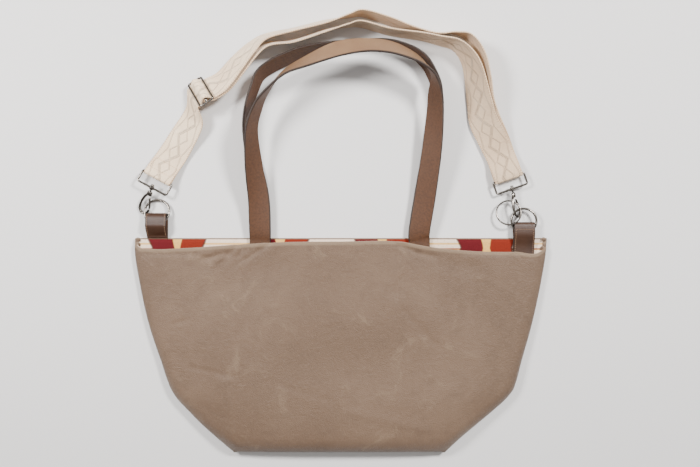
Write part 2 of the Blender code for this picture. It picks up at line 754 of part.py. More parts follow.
def build_slider(left_bar, right_bar, steel):
    # Frame and middle bar; gives back its centre and its directions ahead and up
    side = width_vector(SLIDER_SWING, SLIDER_LEAN)
    heading = math.radians(SLIDER_SWING + 90)
    ahead = Vector((math.cos(heading), math.sin(heading), 0))
    rest = STRAP_WIDTH / 2 * math.sin(math.radians(SLIDER_LEAN)) + STRAP_THICK / 2
    centre = Vector((left_bar.x + SLIDER_ACROSS * (right_bar.x - left_bar.x),
                     left_bar.y + SLIDER_ALONG * STRAP_REACH, rest + SLIDER_LEVEL * STRAP_THICK))
    length = STRAP_WIDTH + 2 * SLIDER_SIDE_ROOM + 2 * SLIDER_WIRE
    start = centre - ahead * SLIDER_PITCH
    points = rounded_loop(length, 2 * SLIDER_PITCH, LOOP_CORNER, start, side, ahead)
    frame = as_mesh(curve_object("slider", points, SLIDER_WIRE, True, 2, steel), steel)
    half = side * length / 2
    bar = as_mesh(curve_object("bar", [centre - half, centre + half], SLIDER_WIRE, False, 2, steel), steel)
    join_into(frame, [bar])
    return centre, ahead, side.cross(ahead)


def strap_rows(rows, start, span):
    # Table rows of the webbing in metres, resting on an edge or a face
    out = []
    for across, along, swing, lean, level in rows:
        tilt = math.radians(lean)
        rest = STRAP_WIDTH / 2 * abs(math.sin(tilt)) + STRAP_THICK / 2 * abs(math.cos(tilt)) + GAP
        out.append((start.x + across * span, start.y + along * STRAP_REACH,
                    rest + level * STRAP_THICK, swing, lean))
    return out


def wrap(bar, ahead, up, angles, radius, swing, lean):
    # Stations round a bar: 0 degrees lies ahead, 90 degrees up
    return [(*(bar + (ahead * math.cos(math.radians(a)) + up * math.sin(math.radians(a))) * radius),
             swing, lean) for a in angles]


def beside(origin, ahead, up, places, swing, lean):
    # Stations at distances ahead and up from an origin, in strap thicknesses
    return [(*(origin + (ahead * a + up * b) * STRAP_THICK), swing, lean) for a, b in places]


def lie_on(row, side_share, level):
    # Station on the upper face of another layer's station
    width = width_vector(row[3], row[4])
    level_run = Vector((width.y, -width.x, 0)).normalized()
    up = level_run.cross(width)
    up = up if up.z > 0 else -up
    place = Vector(row[:3]) + width * side_share * STRAP_WIDTH + up * level * STRAP_THICK
    return (*place, row[3], row[4])


def build_strap(left_bar, right_bar, slider, webbing):
    span = right_bar.x - left_bar.x
    fold = WIRE + GAP + STRAP_THICK / 2
    middle, along, normal = slider
    # Left loop: a sewn tail below the bar, the fold, then the main layer
    heading = math.radians(LEFT_BAR_SWING + 90)
    slope = math.radians(TAIL_SLOPE)
    ahead = Vector((math.cos(heading) * math.cos(slope), math.sin(heading) * math.cos(slope), math.sin(slope)))
    up = width_vector(LEFT_BAR_SWING, 0).cross(ahead)
    start = beside(left_bar, ahead, up, LEFT_TAIL, LEFT_BAR_SWING, 0.0)
    start += wrap(left_bar, ahead, up, LEFT_FOLD, fold, LEFT_BAR_SWING, 0.0)
    start += beside(left_bar, ahead, up, LEFT_START, LEFT_BAR_SWING, 0.0)
    # Slider: under the near bar, over the middle one, under the far one
    under = SLIDER_UNDER * STRAP_THICK
    through = [(*(middle + along * a * SLIDER_PITCH + normal * b * STRAP_THICK), SLIDER_SWING, SLIDER_LEAN)
               for a, b in SLIDER_PATH]
    # Right loop: the outer layer comes in below the bar
    heading = math.radians(RIGHT_BAR_SWING + 90)
    ahead = Vector((math.cos(heading), math.sin(heading), 0))
    up = Vector((0, 0, 1))
    swing = RIGHT_BAR_SWING - 180
    end = beside(right_bar, ahead, up, RIGHT_BELOW, swing, 180.0)
    end += wrap(right_bar, ahead, up, RIGHT_FOLD_BELOW, fold, swing, 180.0)
    arch = strap_rows(OUTER_ARCH, left_bar, span)
    rows = strap_rows(OUTER_RISE, left_bar, span) + through + arch
    ribbon("strap_outer", start[:-1] + spline([start[-1]] + rows + [end[0]]) + end[1:],
           STRAP_WIDTH, STRAP_THICK, webbing, square=False)
    # Inner layer: round the slider's middle bar, below its far bar, along the
    # inside of the arch, then on the outer layer and over the right bar
    tail = wrap(middle, along, normal, SLIDER_FOLD, fold, SLIDER_SWING, SLIDER_LEAN)
    tail.append((*(middle + along * SLIDER_PITCH - normal * (under + SLIDER_EXIT * STRAP_THICK)), SLIDER_SWING,
                 SLIDER_LEAN))
    close = beside(right_bar, ahead, up, RIGHT_ABOVE, swing, 180.0)
    close += wrap(right_bar, ahead, up, RIGHT_FOLD_ABOVE, fold, swing, 180.0)
    lay = [lie_on(row, a, b) for row, (a, b) in zip(arch[-len(INNER_LAY):], INNER_LAY)]
    rows = strap_rows(INNER_ARCH, left_bar, span) + lay
    ribbon("strap_inner", tail[:-1] + spline([tail[-1]] + rows + [close[0]]) + close[1:],
           STRAP_WIDTH, STRAP_THICK, webbing, square=False)


def build_tabs(leather):
    for name, place, reach, rows in (
        ("left_tab", LEFT_RING, LEFT_TAB_REACH, LEFT_TAB_PATH),
        ("right_tab", RIGHT_RING, RIGHT_TAB_REACH, RIGHT_TAB_PATH),
    ):
        x = place[0] * MOUTH_WIDTH / 2
        path = [(x, RIM_Y + along * reach, lift * TAB_HEIGHT, 0.0, 0.0) for along, lift in rows]
        ribbon(name, path, TAB_WIDTH, TAB_THICK, leather)


def build_hardware(steel):
    # Rings, hooks and loops; gives back the loops' bars
    left = ring_place(*LEFT_RING[:3])
    right = ring_place(*RIGHT_RING[:3])
    key = right + Vector(KEY_OFFSET) * RING_RADIUS
    ring("left_ring", ring_frame(left, *LEFT_RING[3:]), RING_RADIUS, RING_WIRE, steel)
    ring("right_ring", ring_frame(right, *RIGHT_RING[3:]), RING_RADIUS, RING_WIRE, steel)
    ring("key_ring", ring_frame(key, *KEY_TILTS), KEY_RADIUS, KEY_WIRE, steel)
    bars = []
    for name, centre, pose, swing, lift in (
        ("left", left, LEFT_HOOK, LEFT_BAR_SWING, LEFT_BAR_LIFT),
        ("right", right, RIGHT_HOOK, RIGHT_BAR_SWING, RIGHT_BAR_LIFT),
    ):
        hook = hook_frame(centre + Vector(pose[0]) * RING_RADIUS, *pose[1:])
        build_hook(name, hook, steel)
        heading = math.radians(swing + 90)
        bar = hook.translation + Vector((math.cos(heading), math.sin(heading), 0)) * LOOP_DEPTH
        bar.z = lift
        build_loop(name, bar, swing, hook, steel)
        bars.append(bar)
    return bars


def build_bag():
    body = material("Body leather", (0.38, 0.28, 0.22), 0.6)
    cloth = material("Printed lining", (0.65, 0.2, 0.12), 0.8)
    strap = material("Handle leather", (0.25, 0.13, 0.075), 0.45)
    tab = material("Tab leather", (0.24, 0.12, 0.07), 0.5)
    webbing = material("Webbing", (0.83, 0.76, 0.68), 0.85)
    steel = material("Steel", (0.62, 0.6, 0.57), 0.25, 1.0)
    build_walls(body, cloth)
    build_handles(strap)
    build_tabs(tab)
    left_bar, right_bar = build_hardware(steel)
    build_strap(left_bar, right_bar, build_slider(left_bar, right_bar, steel), webbing)


for old in list(bpy.data.objects):
    bpy.data.objects.remove(old)
PARTS = bpy.data.collections.new("Leather handbag")
CUTTERS = bpy.data.collections.new("Cutters")
bpy.context.scene.collection.children.link(PARTS)
bpy.context.scene.collection.children.link(CUTTERS)
build_bag()
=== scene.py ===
# Looks of a wide leather tote bag that lies on its back with its shoulder strap.
# Metres, +X along the mouth, +Y from the base to the handles, +Z up off the table.
import math

import bpy
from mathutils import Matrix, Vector
import numpy as np


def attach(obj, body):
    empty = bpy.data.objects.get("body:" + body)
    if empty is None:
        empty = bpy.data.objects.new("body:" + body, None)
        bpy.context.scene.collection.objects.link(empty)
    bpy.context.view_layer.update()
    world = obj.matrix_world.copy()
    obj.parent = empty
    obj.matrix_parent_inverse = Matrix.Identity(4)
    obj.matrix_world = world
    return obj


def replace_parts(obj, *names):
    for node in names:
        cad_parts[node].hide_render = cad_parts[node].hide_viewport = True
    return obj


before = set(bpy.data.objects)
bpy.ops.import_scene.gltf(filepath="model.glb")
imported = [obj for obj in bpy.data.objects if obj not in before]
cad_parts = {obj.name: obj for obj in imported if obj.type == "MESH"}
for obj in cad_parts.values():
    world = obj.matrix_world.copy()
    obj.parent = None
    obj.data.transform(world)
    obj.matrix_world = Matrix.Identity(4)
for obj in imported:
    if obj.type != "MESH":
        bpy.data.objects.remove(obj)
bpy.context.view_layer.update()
mm = 0.001


# Tables and curves

def catmull(rows, steps):
    # Cubic through the rows: each span blends four neighbours, all columns alike
    rows = np.array(rows, float)
    p = np.vstack([rows[:1], rows, rows[-1:]])
    a, b, c, d = (q[:, None] for q in (p[:-3], p[1:-2], p[2:-1], p[3:]))
    t = (np.arange(steps) / steps)[None, :, None]
    out = 0.5 * (2 * b + (c - a) * t + (2 * a - 5 * b + 4 * c - d) * t ** 2
                 + (3 * b - a - 3 * c + d) * t ** 3)
    return np.vstack([out.reshape(-1, rows.shape[1]), rows[-1:]])


def smoothTable(rows, value, column):
    # Table value at any share, on a cubic with slopes from the neighbours
    rows = np.array(rows, float)
    x, y = rows[:, 0], rows[:, column]
    slope = np.gradient(y, x)
    value = np.clip(value, x[0], x[-1])
    k = np.clip(np.searchsorted(x, value, side="right") - 1, 0, len(x) - 2)
    h = x[k + 1] - x[k]
    t = (value - x[k]) / h
    return ((2 * t ** 3 - 3 * t ** 2 + 1) * y[k] + (t ** 3 - 2 * t ** 2 + t) * h * slope[k]
            + (3 * t ** 2 - 2 * t ** 3) * y[k + 1] + (t ** 3 - t ** 2) * h * slope[k + 1])


def unit(v):
    # Vectors over their lengths
    return v / np.maximum(np.linalg.norm(v, axis=-1, keepdims=True), 1e-12)


def smoothStep(v, low, high):
    # From 0 at low to 1 at high, level at both ends
    t = np.clip((v - low) / (high - low), 0, 1)
    return t * t * (3 - 2 * t)


def wave(x, y, turn, length, phase):
    # Sine ripple across a direction in degrees
    a = math.radians(turn)
    return np.sin((x * math.cos(a) + y * math.sin(a)) * 2 * math.pi / length + phase)


# Meshes

def gridObject(name, grid, body, mat, loopU=False, loopV=False, caps=False, uv=None, values=None):
    # Grid of points (n along, m across) as quads, with its own UV in metres
    n, m = grid.shape[:2]
    i = np.arange(n if loopU else n - 1)[:, None]
    j = np.arange(m if loopV else m - 1)[None, :]
    i2, j2 = (i + 1) % n, (j + 1) % m
    faces = np.stack([i * m + j, i2 * m + j, i2 * m + j2, i * m + j2], -1).reshape(-1, 4).tolist()
    if caps:
        faces.append(list(range(m)))
        faces.append([(n - 1) * m + k for k in range(m)][::-1])
    mesh = bpy.data.meshes.new(name)
    mesh.from_pydata(grid.reshape(-1, 3).tolist(), [], faces)
    if uv is not None:
        layer = mesh.uv_layers.new(name="Flat")
        index = np.zeros(len(mesh.loops), np.int32)
        mesh.loops.foreach_get("vertex_index", index)
        layer.data.foreach_set("uv", uv.reshape(-1, 2)[index].astype(np.float32).ravel())
    for key, data in (values or {}).items():
        attribute = mesh.attributes.new(key, "FLOAT", "POINT")
        attribute.data.foreach_set("value", np.asarray(data, np.float32).ravel())
    mesh.shade_smooth()
    return finished(name, mesh, body, mat)


def finished(name, mesh, body, mat):
    # Object from a mesh, with its body and its material slot
    mesh.materials.append(mat)
    obj = bpy.data.objects.new(name, mesh)
    bpy.context.scene.collection.objects.link(obj)
    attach(obj, body)
    return obj


def faceOut(obj):
    # Closed pieces get their faces turned outwards by the sign of their volume
    mesh = obj.data
    mesh.calc_loop_triangles()
    co = np.zeros(len(mesh.vertices) * 3)
    mesh.vertices.foreach_get("co", co)
    co = co.reshape(-1, 3)
    tri = np.zeros(len(mesh.loop_triangles) * 3, np.int32)
    mesh.loop_triangles.foreach_get("vertices", tri)
    a, b, c = co[tri.reshape(-1, 3)].transpose(1, 0, 2)
    if np.einsum("ij,ij->i", a, np.cross(b, c)).sum() < 0:
        mesh.flip_normals()
    return obj


def sweep(name, path, radius, body, mat, sides=14, closed=False, up=(0, 0, 1), flat=1.0):
    # Round or oval section carried along a path: radius at each point, its
    # height over its width given by flat
    path = np.asarray(path, float)
    if closed:
        run = unit(np.roll(path, -1, 0) - np.roll(path, 1, 0))
    else:
        run = unit(np.gradient(path, axis=0))
    up = np.broadcast_to(np.asarray(up, float), path.shape)
    side = unit(np.cross(run, up))
    rise = np.cross(side, run)
    turn = np.arange(sides) * 2 * math.pi / sides
    radius = np.broadcast_to(np.asarray(radius, float), len(path))[:, None, None]
    grid = path[:, None] + radius * (side[:, None] * np.cos(turn)[None, :, None]
                                     + rise[:, None] * np.sin(turn)[None, :, None] * flat)
    along = np.concatenate([[0], np.cumsum(np.linalg.norm(np.diff(path, axis=0), axis=1))])
    uv = np.stack(np.broadcast_arrays(along[:, None], (turn * float(radius.mean()))[None]), -1)
    obj = gridObject(name, grid, body, mat, loopU=closed, loopV=True, caps=not closed, uv=uv)
    return faceOut(obj)


def joined(name, objs):
    # Several finished pieces as one object
    base = objs[0]
    with bpy.context.temp_override(active_object=base, object=base, selected_objects=objs,
                                   selected_editable_objects=objs):
        bpy.ops.object.join()
    base.name = name
    base.data.name = name
    return base


# Materials

class Sock:
    # A node's output socket that can be used in sums
    def __init__(self, tree, out):
        self.tree = tree
        self.out = out

    def math(self, kind, other=None, swap=False):
        node = self.tree.nodes.new("ShaderNodeMath")
        node.operation = kind
        first, second = (1, 0) if swap else (0, 1)
        self.tree.links.new(self.out, node.inputs[first])
        if isinstance(other, Sock):
            self.tree.links.new(other.out, node.inputs[second])
        elif other is not None:
            node.inputs[second].default_value = other
        return Sock(self.tree, node.outputs[0])

    def __add__(self, other):
        return self.math("ADD", other)

    def __sub__(self, other):
        return self.math("SUBTRACT", other)

    def __rsub__(self, other):
        return self.math("SUBTRACT", other, True)

    def __mul__(self, other):
        return self.math("MULTIPLY", other)

    def __truediv__(self, other):
        return self.math("DIVIDE", other)

    __radd__ = __add__
    __rmul__ = __mul__

    def absolute(self):
        return self.math("ABSOLUTE")

    def least(self, other):
        return self.math("MINIMUM", other)

    def most(self, other):
        return self.math("MAXIMUM", other)

    def sine(self):
        return self.math("SINE")

    def zigzag(self, size):
        return self.math("PINGPONG", size)

    def wrapped(self, size):
        return self.math("FLOORED_MODULO", size)

    def ripple(self, pitch):
        # Sine with one swing in each pitch
        return (self * (2 * math.pi / pitch)).sine()


class Finish:
    # One Principled material and short ways to add nodes to it
    def __init__(self, name, roughness, metallic=0.0, fixed=None):
        self.mat = bpy.data.materials.new(name)
        self.mat.use_nodes = True
        self.tree = self.mat.node_tree
        self.shader = self.tree.nodes["Principled BSDF"]
        self.shader.inputs["Roughness"].default_value = roughness
        self.shader.inputs["Metallic"].default_value = metallic
        for key, value in (fixed or {}).items():
            self.shader.inputs[key].default_value = value
        self.place = self.node("ShaderNodeTexCoord", out="Object")

    def node(self, kind, settings=None, inputs=None, out=0):
        node = self.tree.nodes.new(kind)
        for key, value in (settings or {}).items():
            setattr(node, key, value)
        for key, value in (inputs or {}).items():
            if isinstance(value, Sock):
                self.tree.links.new(value.out, node.inputs[key])
            else:
                node.inputs[key].default_value = value
        return Sock(self.tree, node.outputs[out])

    def noise(self, scale, detail=3.0, rough=0.5, distortion=0.0):
        return self.node("ShaderNodeTexNoise", None, {
            "Vector": self.place, "Scale": scale, "Detail": detail, "Roughness": rough,
            "Distortion": distortion})

    def pores(self, scale, width):
        # 0 on the borders of small cells, 1 a width away from them
        cells = self.node("ShaderNodeTexVoronoi", {"feature": "DISTANCE_TO_EDGE"}, {
            "Vector": self.place, "Scale": scale})
        return self.step(cells, 0.0, width)

    def step(self, value, low, high):
        return self.node("ShaderNodeMapRange", {"interpolation_type": "SMOOTHSTEP"}, {
            "Value": value, "From Min": low, "From Max": high})

    def mix(self, factor, a, b, blend="MIX"):
        a, b = ((*c, 1.0) if isinstance(c, tuple) else c for c in (a, b))
        return self.node("ShaderNodeMix", {"data_type": "RGBA", "blend_type": blend}, {
            0: factor, 6: a, 7: b}, out=2)

    def attribute(self, name):
        return self.node("ShaderNodeAttribute", {"attribute_name": name}, out="Fac")

    def split(self, source):
        # The three numbers of a vector
        first = self.node("ShaderNodeSeparateXYZ", None, {0: source})
        return [Sock(self.tree, out) for out in first.out.node.outputs]

    def bump(self, height):
        # Heights in metres
        self.feed("Normal", self.node("ShaderNodeBump", None, {
            "Height": height, "Distance": 1.0, "Strength": 1.0}, out="Normal"))

    def feed(self, key, value):
        self.tree.links.new(value.out, self.shader.inputs[key])


def tone(r, g, b):
    # Screen colour from 0 to 255 as linear light
    return tuple((c / 255 / 12.92) if c <= 10 else ((c / 255 + 0.055) / 1.055) ** 2.4 for c in (r, g, b))


bodyLook = {"base": tone(94, 73, 56), "light": tone(107, 85, 67), "dark": tone(80, 61, 46),
            "rim": tone(126, 105, 84), "roughness": 0.55, "blotch": (11, 5, 0.6), "patch": (46, 5, 0.65),
            "fleck": (420, 3, 0.6), "scuff": (24, 6, 0.72, 1.2), "skin": (160, 4, 0.6, 0.6), "grain": 560,
            "grainDepth": 0.16 * mm, "wrinkleDepth": 0.5 * mm, "scuffDepth": 1.2 * mm}


def leatherFinish(look):
    # Grained leather: clouds, patches, flecks and scuffs of nearby tones, each a
    # noise of scale, detail, roughness and distortion
    f = Finish("Taupe grained leather", look["roughness"], fixed={
        "Specular IOR Level": 0.35, "Sheen Weight": 0.15, "Sheen Roughness": 0.5})
    blotch, patch, fleck, scuff, skin = (
        f.noise(*look[key]) for key in ("blotch", "patch", "fleck", "scuff", "skin"))
    colour = f.mix(f.step(blotch, 0.38, 0.66) * 0.7, look["base"], look["light"])
    colour = f.mix(f.step(patch, 0.45, 0.75) * 0.45, colour, look["dark"])
    colour = f.mix(f.step(fleck, 0.48, 0.66) * 0.5, colour, look["light"])
    colour = f.mix(f.step(scuff, 0.56, 0.70) * 0.4, colour, look["rim"])
    # painted highlight: the hem's curl is lightened to the pale rim tone
    colour = f.mix(f.attribute("rim") * 0.8, colour, look["rim"])
    f.feed("Base Color", colour)
    f.feed("Roughness", patch * 0.18 + (look["roughness"] - 0.08))
    f.bump(f.pores(look["grain"], 0.28) * look["grainDepth"] + skin * look["wrinkleDepth"]
           + scuff * look["scuffDepth"])
    return f.mat


bodyLeather = leatherFinish(bodyLook)
# the suede tones are the flesh side's colour, darkened further as painted shade
stripLook = {
    "hide": (tone(124, 96, 70), tone(115, 86, 62)), "suedeAndShade": (tone(77, 46, 23), tone(62, 36, 17)),
    "edge": tone(40, 26, 18), "grain": 900, "grainDepth": 0.06 * mm, "fibreDepth": 0.15 * mm,
    "creaseDepth": 0.12 * mm}


def stripFinish(name, look):
    # Belt leather: smooth hide on top, fibrous suede side below, painted edges; the suede side's darker tones
    # also hold painted shade, for handle faces turned from the light
    f = Finish(name, 0.42, fixed={"Specular IOR Level": 0.4})
    top = f.attribute("top")
    cloud = f.noise(26, 4, 0.55)
    fibres = f.noise(420, 4, 0.65)
    hide = f.mix(f.step(cloud, 0.35, 0.7), *look["hide"])
    # partly the leather's own flesh side, partly painted shade on the faces turned from the light
    suedeAndShade = f.mix(f.step(fibres, 0.35, 0.7), *look["suedeAndShade"])
    f.feed("Base Color", f.mix(f.attribute("edge"), f.mix(top, suedeAndShade, hide), look["edge"]))
    f.feed("Roughness", 0.62 - top * 0.2 + cloud * 0.08)
    f.bump(f.pores(look["grain"], 0.3) * look["grainDepth"] + fibres * (1 - top) * look["fibreDepth"]
           + f.noise(120, 3, 0.6) * look["creaseDepth"])
    return f.mat


handleLeather = stripFinish("Brown handle leather", stripLook)
tabLook = dict(stripLook, hide=(tone(58, 35, 21), tone(45, 26, 15)))
tabLeather = stripFinish("Brown tab leather", tabLook)

# the under tone is painted shade: a darker beige for the webbing face that is seen in shadow
webLook = {"yarn": tone(242, 216, 184), "shade": tone(186, 148, 112), "under": tone(182, 153, 124),
           "pattern": 10.5 * mm, "slant": 0.62, "twinGap": 1.0 * mm, "line": (0.3 * mm, 0.9 * mm),
           "outerAt": 11.8 * mm, "outerSlant": 0.22, "selvage": (14.6 * mm, 15.6 * mm),
           "hemLine": (15.2 * mm, 15.8 * mm), "rib": 1.1 * mm, "tooth": 2.8 * mm, "relief": 1.6 * mm,
           "ribDepth": 0.07 * mm, "toothDepth": 0.2 * mm, "fuzzDepth": 0.1 * mm, "crinkleDepth": 1.1 * mm}


def webbingFinish(look):
    # Jacquard webbing: raised zigzag and diamond lines on a ribbed ground, with painted shade on one face
    f = Finish("Cream jacquard webbing", 0.85, fixed={
        "Sheen Weight": 0.25, "Sheen Roughness": 0.4, "Specular IOR Level": 0.2})
    u, v = f.split(f.node("ShaderNodeUVMap", {"uv_map": "Flat"}))[:2]
    swing = u.zigzag(look["pattern"] * 2) - look["pattern"]
    twin = ((v - swing * look["slant"]).absolute() - look["twinGap"]).absolute()
    single = (v + swing * look["slant"]).absolute()
    outer = ((v.absolute() - look["outerAt"]) + swing * look["outerSlant"]).absolute()
    lines = (1 - f.step(twin.least(single), *look["line"])).most((1 - f.step(outer, *look["line"])) * 0.7)
    fuzz = f.noise(700, 3, 0.6)
    teeth = u.ripple(look["tooth"])
    ground = f.mix(f.step(f.noise(22, 3, 0.5), 0.35, 0.7) * 0.3, look["yarn"], look["shade"])
    # painted shade: each strip's top face is darkened towards the under tone, as where it turns from the
    # light
    ground = f.mix(f.attribute("top") * 0.6, ground, look["under"])
    hemStitch = f.step(teeth, 0.1, 0.6) * f.step(v.absolute(), *look["hemLine"])
    colour = f.mix(lines * 0.14 + hemStitch * 0.6, ground, look["shade"])
    f.feed("Base Color", f.mix(f.step(fuzz, 0.55, 0.8) * 0.18, colour, look["shade"]))
    ribs = u.ripple(look["rib"]) * v.ripple(look["rib"])
    selvage = teeth * f.step(v.absolute(), *look["selvage"])
    f.bump(lines * look["relief"] + ribs * look["ribDepth"] + selvage * look["toothDepth"]
           + fuzz * look["fuzzDepth"] + f.noise(150, 4, 0.6, 1.0) * look["crinkleDepth"])
    return f.mat


webbing = webbingFinish(webLook)


def metalFinish(name, colour, roughness):
    # Plated metal with faint smears
    f = Finish(name, roughness, 1.0)
    smear = f.noise(260, 3, 0.6)
    f.feed("Base Color", f.mix(f.step(smear, 0.4, 0.75) * 0.35, colour, tuple(c * 0.72 for c in colour)))
    f.feed("Roughness", smear * 0.14 + (roughness - 0.05))
    f.bump(f.noise(1500, 2, 0.5) * 0.02 * mm)
    return f.mat


nickel = metalFinish("Polished nickel", tone(112, 106, 100), 0.20)
liningLook = {"white": tone(224, 200, 178), "ink": tone(60, 16, 14), "crimson": tone(86, 11, 18),
              "rust": tone(114, 31, 12), "cream": tone(208, 164, 92), "yellow": tone(206, 156, 60),
              "repeat": 122.7 * mm, "shift": 257.3 * mm, "wobble": 8 * mm, "row": 46 * mm,
              "rowShift": 18 * mm, "stripe": 6.5 * mm, "pinStripe": 13 * mm, "pinShift": 1.2 * mm,
              "weave": 0.6 * mm}


def liningFinish(look):
    # Printed cotton: crimson and rust lozenges, cream peaks, and narrow stripes
    f = Finish("Printed cotton lining", 0.8, fixed={"Specular IOR Level": 0.2})
    x, y = f.split(f.place)[:2]
    wobble = (f.noise(30, 2, 0.5) - 0.5) * look["wobble"]
    cell = (x + wobble + look["shift"]).wrapped(look["repeat"]) / look["repeat"]
    row = (y + look["rowShift"]).zigzag(look["row"]) / look["row"]
    across = (cell - 0.5).absolute() * 2
    lozenge = across + (row - 0.5).absolute() * 0.30
    motif = f.mix(f.step(cell, 0.47, 0.53), look["crimson"], look["rust"])
    motif = f.mix(1 - f.step(across + row * 0.16, 0.20, 0.23), motif, look["cream"])
    pale = f.mix(f.step(y.ripple(look["stripe"]), 0.35, 0.75) * 0.75, look["white"], look["yellow"])
    pinStripe = f.step((y + look["pinShift"]).ripple(look["pinStripe"]), 0.86, 0.96)
    pale = f.mix(pinStripe * 0.8, pale, look["rust"])
    colour = f.mix(1 - f.step(lozenge, 0.62, 0.66), pale, motif)
    rimLine = 1 - f.step((lozenge - 0.64).absolute(), 0.012, 0.030)
    colour = f.mix(rimLine * 0.8, colour, look["ink"])
    colour = f.mix(f.step(f.noise(420, 3, 0.6), 0.5, 0.8) * 0.3, colour, look["crimson"], "MULTIPLY")
    f.feed("Base Color", colour)
    f.bump(x.ripple(look["weave"]) * y.ripple(look["weave"]) * 0.03 * mm + f.noise(60, 3, 0.5) * 0.6 * mm)
    return f.mat


def threadFinish(name, roughness, dark, light):
    # Sewing thread, mottled between two tones
    f = Finish(name, roughness)
    f.feed("Base Color", f.mix(f.noise(900, 2, 0.5), dark, light))
    return f.mat


lining = liningFinish(liningLook)
thread = threadFinish("Tan thread", 0.7, tone(120, 92, 70), tone(150, 120, 96))
webbingThread = threadFinish("Cream thread", 0.75, tone(214, 184, 148), tone(190, 158, 122))
print("materials made")

# The body's two walls

bag = {"mouth": 492 * mm, "rimY": 132 * mm, "baseY": -121.5 * mm, "frontLift": 27 * mm, "seamLift": 9 * mm,
       "sideRoll": 15 * mm, "baseRoll": 20 * mm, "backRoll": 9 * mm, "seamGap": 1.2 * mm,
       "hemRadius": 1.15 * mm, "leather": 0.9 * mm, "lining": 0.8 * mm, "liningInset": 2.5 * mm,
       "liningDrop": 1.5 * mm, "crownFall": 0.30, "bulge": 1.3 * mm, "bulgeAcross": (-0.74, -0.60),
       "bulgeUp": (0.68, 0.82), "columns": 230, "frontRows": 120, "rows": 60, "liningColumns": 150, "arc": 13,
       "slantStep": 0.03, "hemSweep": (18, 180, 10), "hemTurnIn": (1.0 * mm, 2.6 * mm)}
bagHeight = bag["rimY"] - bag["baseY"]
half = bag["mouth"] / 2
# how far in and how deep the wall's edge turns at its seam: millimetres, shares of the gap
lipSteps = ((4.5, 0.42), (2.0, 0.40), (0.7, 0.28))
# share of the height, left and right half widths as shares of half the mouth
outline = ((0.00, 0.520, 0.502), (0.065, 0.600, 0.574), (0.13, 0.676, 0.655), (0.19, 0.738, 0.730),
           (0.245, 0.792, 0.794), (0.285, 0.820, 0.828), (0.33, 0.840, 0.846), (0.41, 0.868, 0.868),
           (0.58, 0.928, 0.918), (0.80, 0.979, 0.968), (0.93, 1.000, 0.990), (1.00, 1.002, 0.997))
# share of the height, share of the lift there
frontProfile = ((0.00, 0.97), (0.10, 1.00), (0.22, 0.95), (0.40, 0.80), (0.60, 0.68), (0.80, 0.58),
                (0.93, 0.58), (1.00, 0.60))
seamProfile = ((0.0, 1.0), (0.3, 0.72), (1.0, 0.58))
# place across as a share of half the mouth, dip as a share of the height
rimDips = ((-1.00, 0.024), (-0.975, 0.044), (-0.93, 0.050), (-0.75, 0.047), (-0.55, 0.034), (-0.30, 0.020),
           (0.00, 0.016), (0.28, 0.017), (0.45, 0.044), (0.60, 0.058), (0.85, 0.064), (0.975, 0.061),
           (1.00, 0.042))
# both ends as shares of half the mouth and of the height, then depth and
# width in millimetres: the broad hollows first, then the short creases
folds = ((-0.53, 0.02, -0.56, 0.33, 1.35, 8.0), (-0.66, 0.88, -0.42, 0.96, -1.2, 11.0),
         (-0.60, 0.78, -0.30, 0.88, -1.2, 21.0), (0.27, 0.76, 0.27, 0.97, -1.0, 8.0),
         (0.30, 0.95, 0.62, 0.86, -1.5, 13.5), (-0.83, 0.26, -0.66, 0.17, -1.6, 16.0),
         (0.83, 0.26, 0.66, 0.17, -1.6, 16.0), (-0.30, 0.45, 0.35, 0.40, -1.1, 43.0),
         (-0.66, 0.905, -0.545, 0.925, -1.6, 3.2), (-0.545, 0.925, -0.44, 0.985, -1.7, 3.0),
         (-0.60, 0.90, -0.50, 0.945, 1.3, 3.0), (-0.50, 0.95, -0.42, 0.99, 1.1, 2.6),
         (-0.46, 0.90, -0.40, 0.94, -1.1, 2.6), (-0.40, 0.94, -0.34, 0.975, -1.0, 2.4),
         (-0.52, 0.86, -0.47, 0.90, -0.7, 2.4), (0.265, 0.72, 0.275, 0.97, -1.0, 2.4),
         (0.285, 0.965, 0.37, 0.93, -1.2, 2.6), (0.37, 0.93, 0.45, 0.915, -1.0, 3.0),
         (-0.505, 0.02, -0.545, 0.34, 1.0, 2.4), (-0.80, 0.60, -0.74, 0.62, -0.7, 2.6),
         (0.60, 0.93, 0.85, 0.925, -0.9, 3.4), (-0.95, 0.93, -0.70, 0.925, -0.8, 3.4),
         (-0.72, 0.40, -0.50, 0.36, -0.5, 3.0), (-0.30, 0.33, -0.05, 0.25, -0.4, 4.0),
         (0.30, 0.66, 0.46, 0.50, -0.5, 4.0), (0.05, 0.20, 0.40, 0.12, 0.5, 6.0),
         (-0.62, 0.87, -0.57, 0.91, 0.6, 2.2), (-0.50, 0.91, -0.47, 0.95, -0.7, 2.0))
# height in millimetres, then direction, length in metres and phase of two crossed ripples
swells = ((0.35, (72, 0.21, 0.0), (-20, 0.26, 1.0)), (0.16, (25, 0.085, 2.0), (118, 0.12, 0.0)))


def foldDepth(x, y):
    # Sum of soft grooves: each falls off with the square of the distance to its line
    depth = np.zeros_like(x)
    for x0, h0, x1, h1, deep, wide in folds:
        ax, ay = x0 * half, bag["baseY"] + h0 * bagHeight
        rx, ry = x1 * half - ax, bag["baseY"] + h1 * bagHeight - ay
        part = np.clip(((x - ax) * rx + (y - ay) * ry) / (rx * rx + ry * ry), 0, 1)
        away = np.hypot(x - ax - rx * part, y - ay - ry * part)
        depth += deep * mm * np.exp(-(away / (wide * mm)) ** 2)
    for high, first, second in swells:
        depth += high * mm * wave(x, y, *first) * wave(x, y, *second)
    return depth


def seamLift(y):
    # Height of the seam between the two walls, the profile's share of its lift
    return bag["seamLift"] * smoothTable(seamProfile, (y - bag["baseY"]) / bagHeight, 1)


def roll(distance, radius):
    # Quarter ellipse from 0 at the edge to 1 one radius in
    t = np.clip(distance / radius, 0, 1)
    return np.sqrt(1 - (1 - t) ** 2)


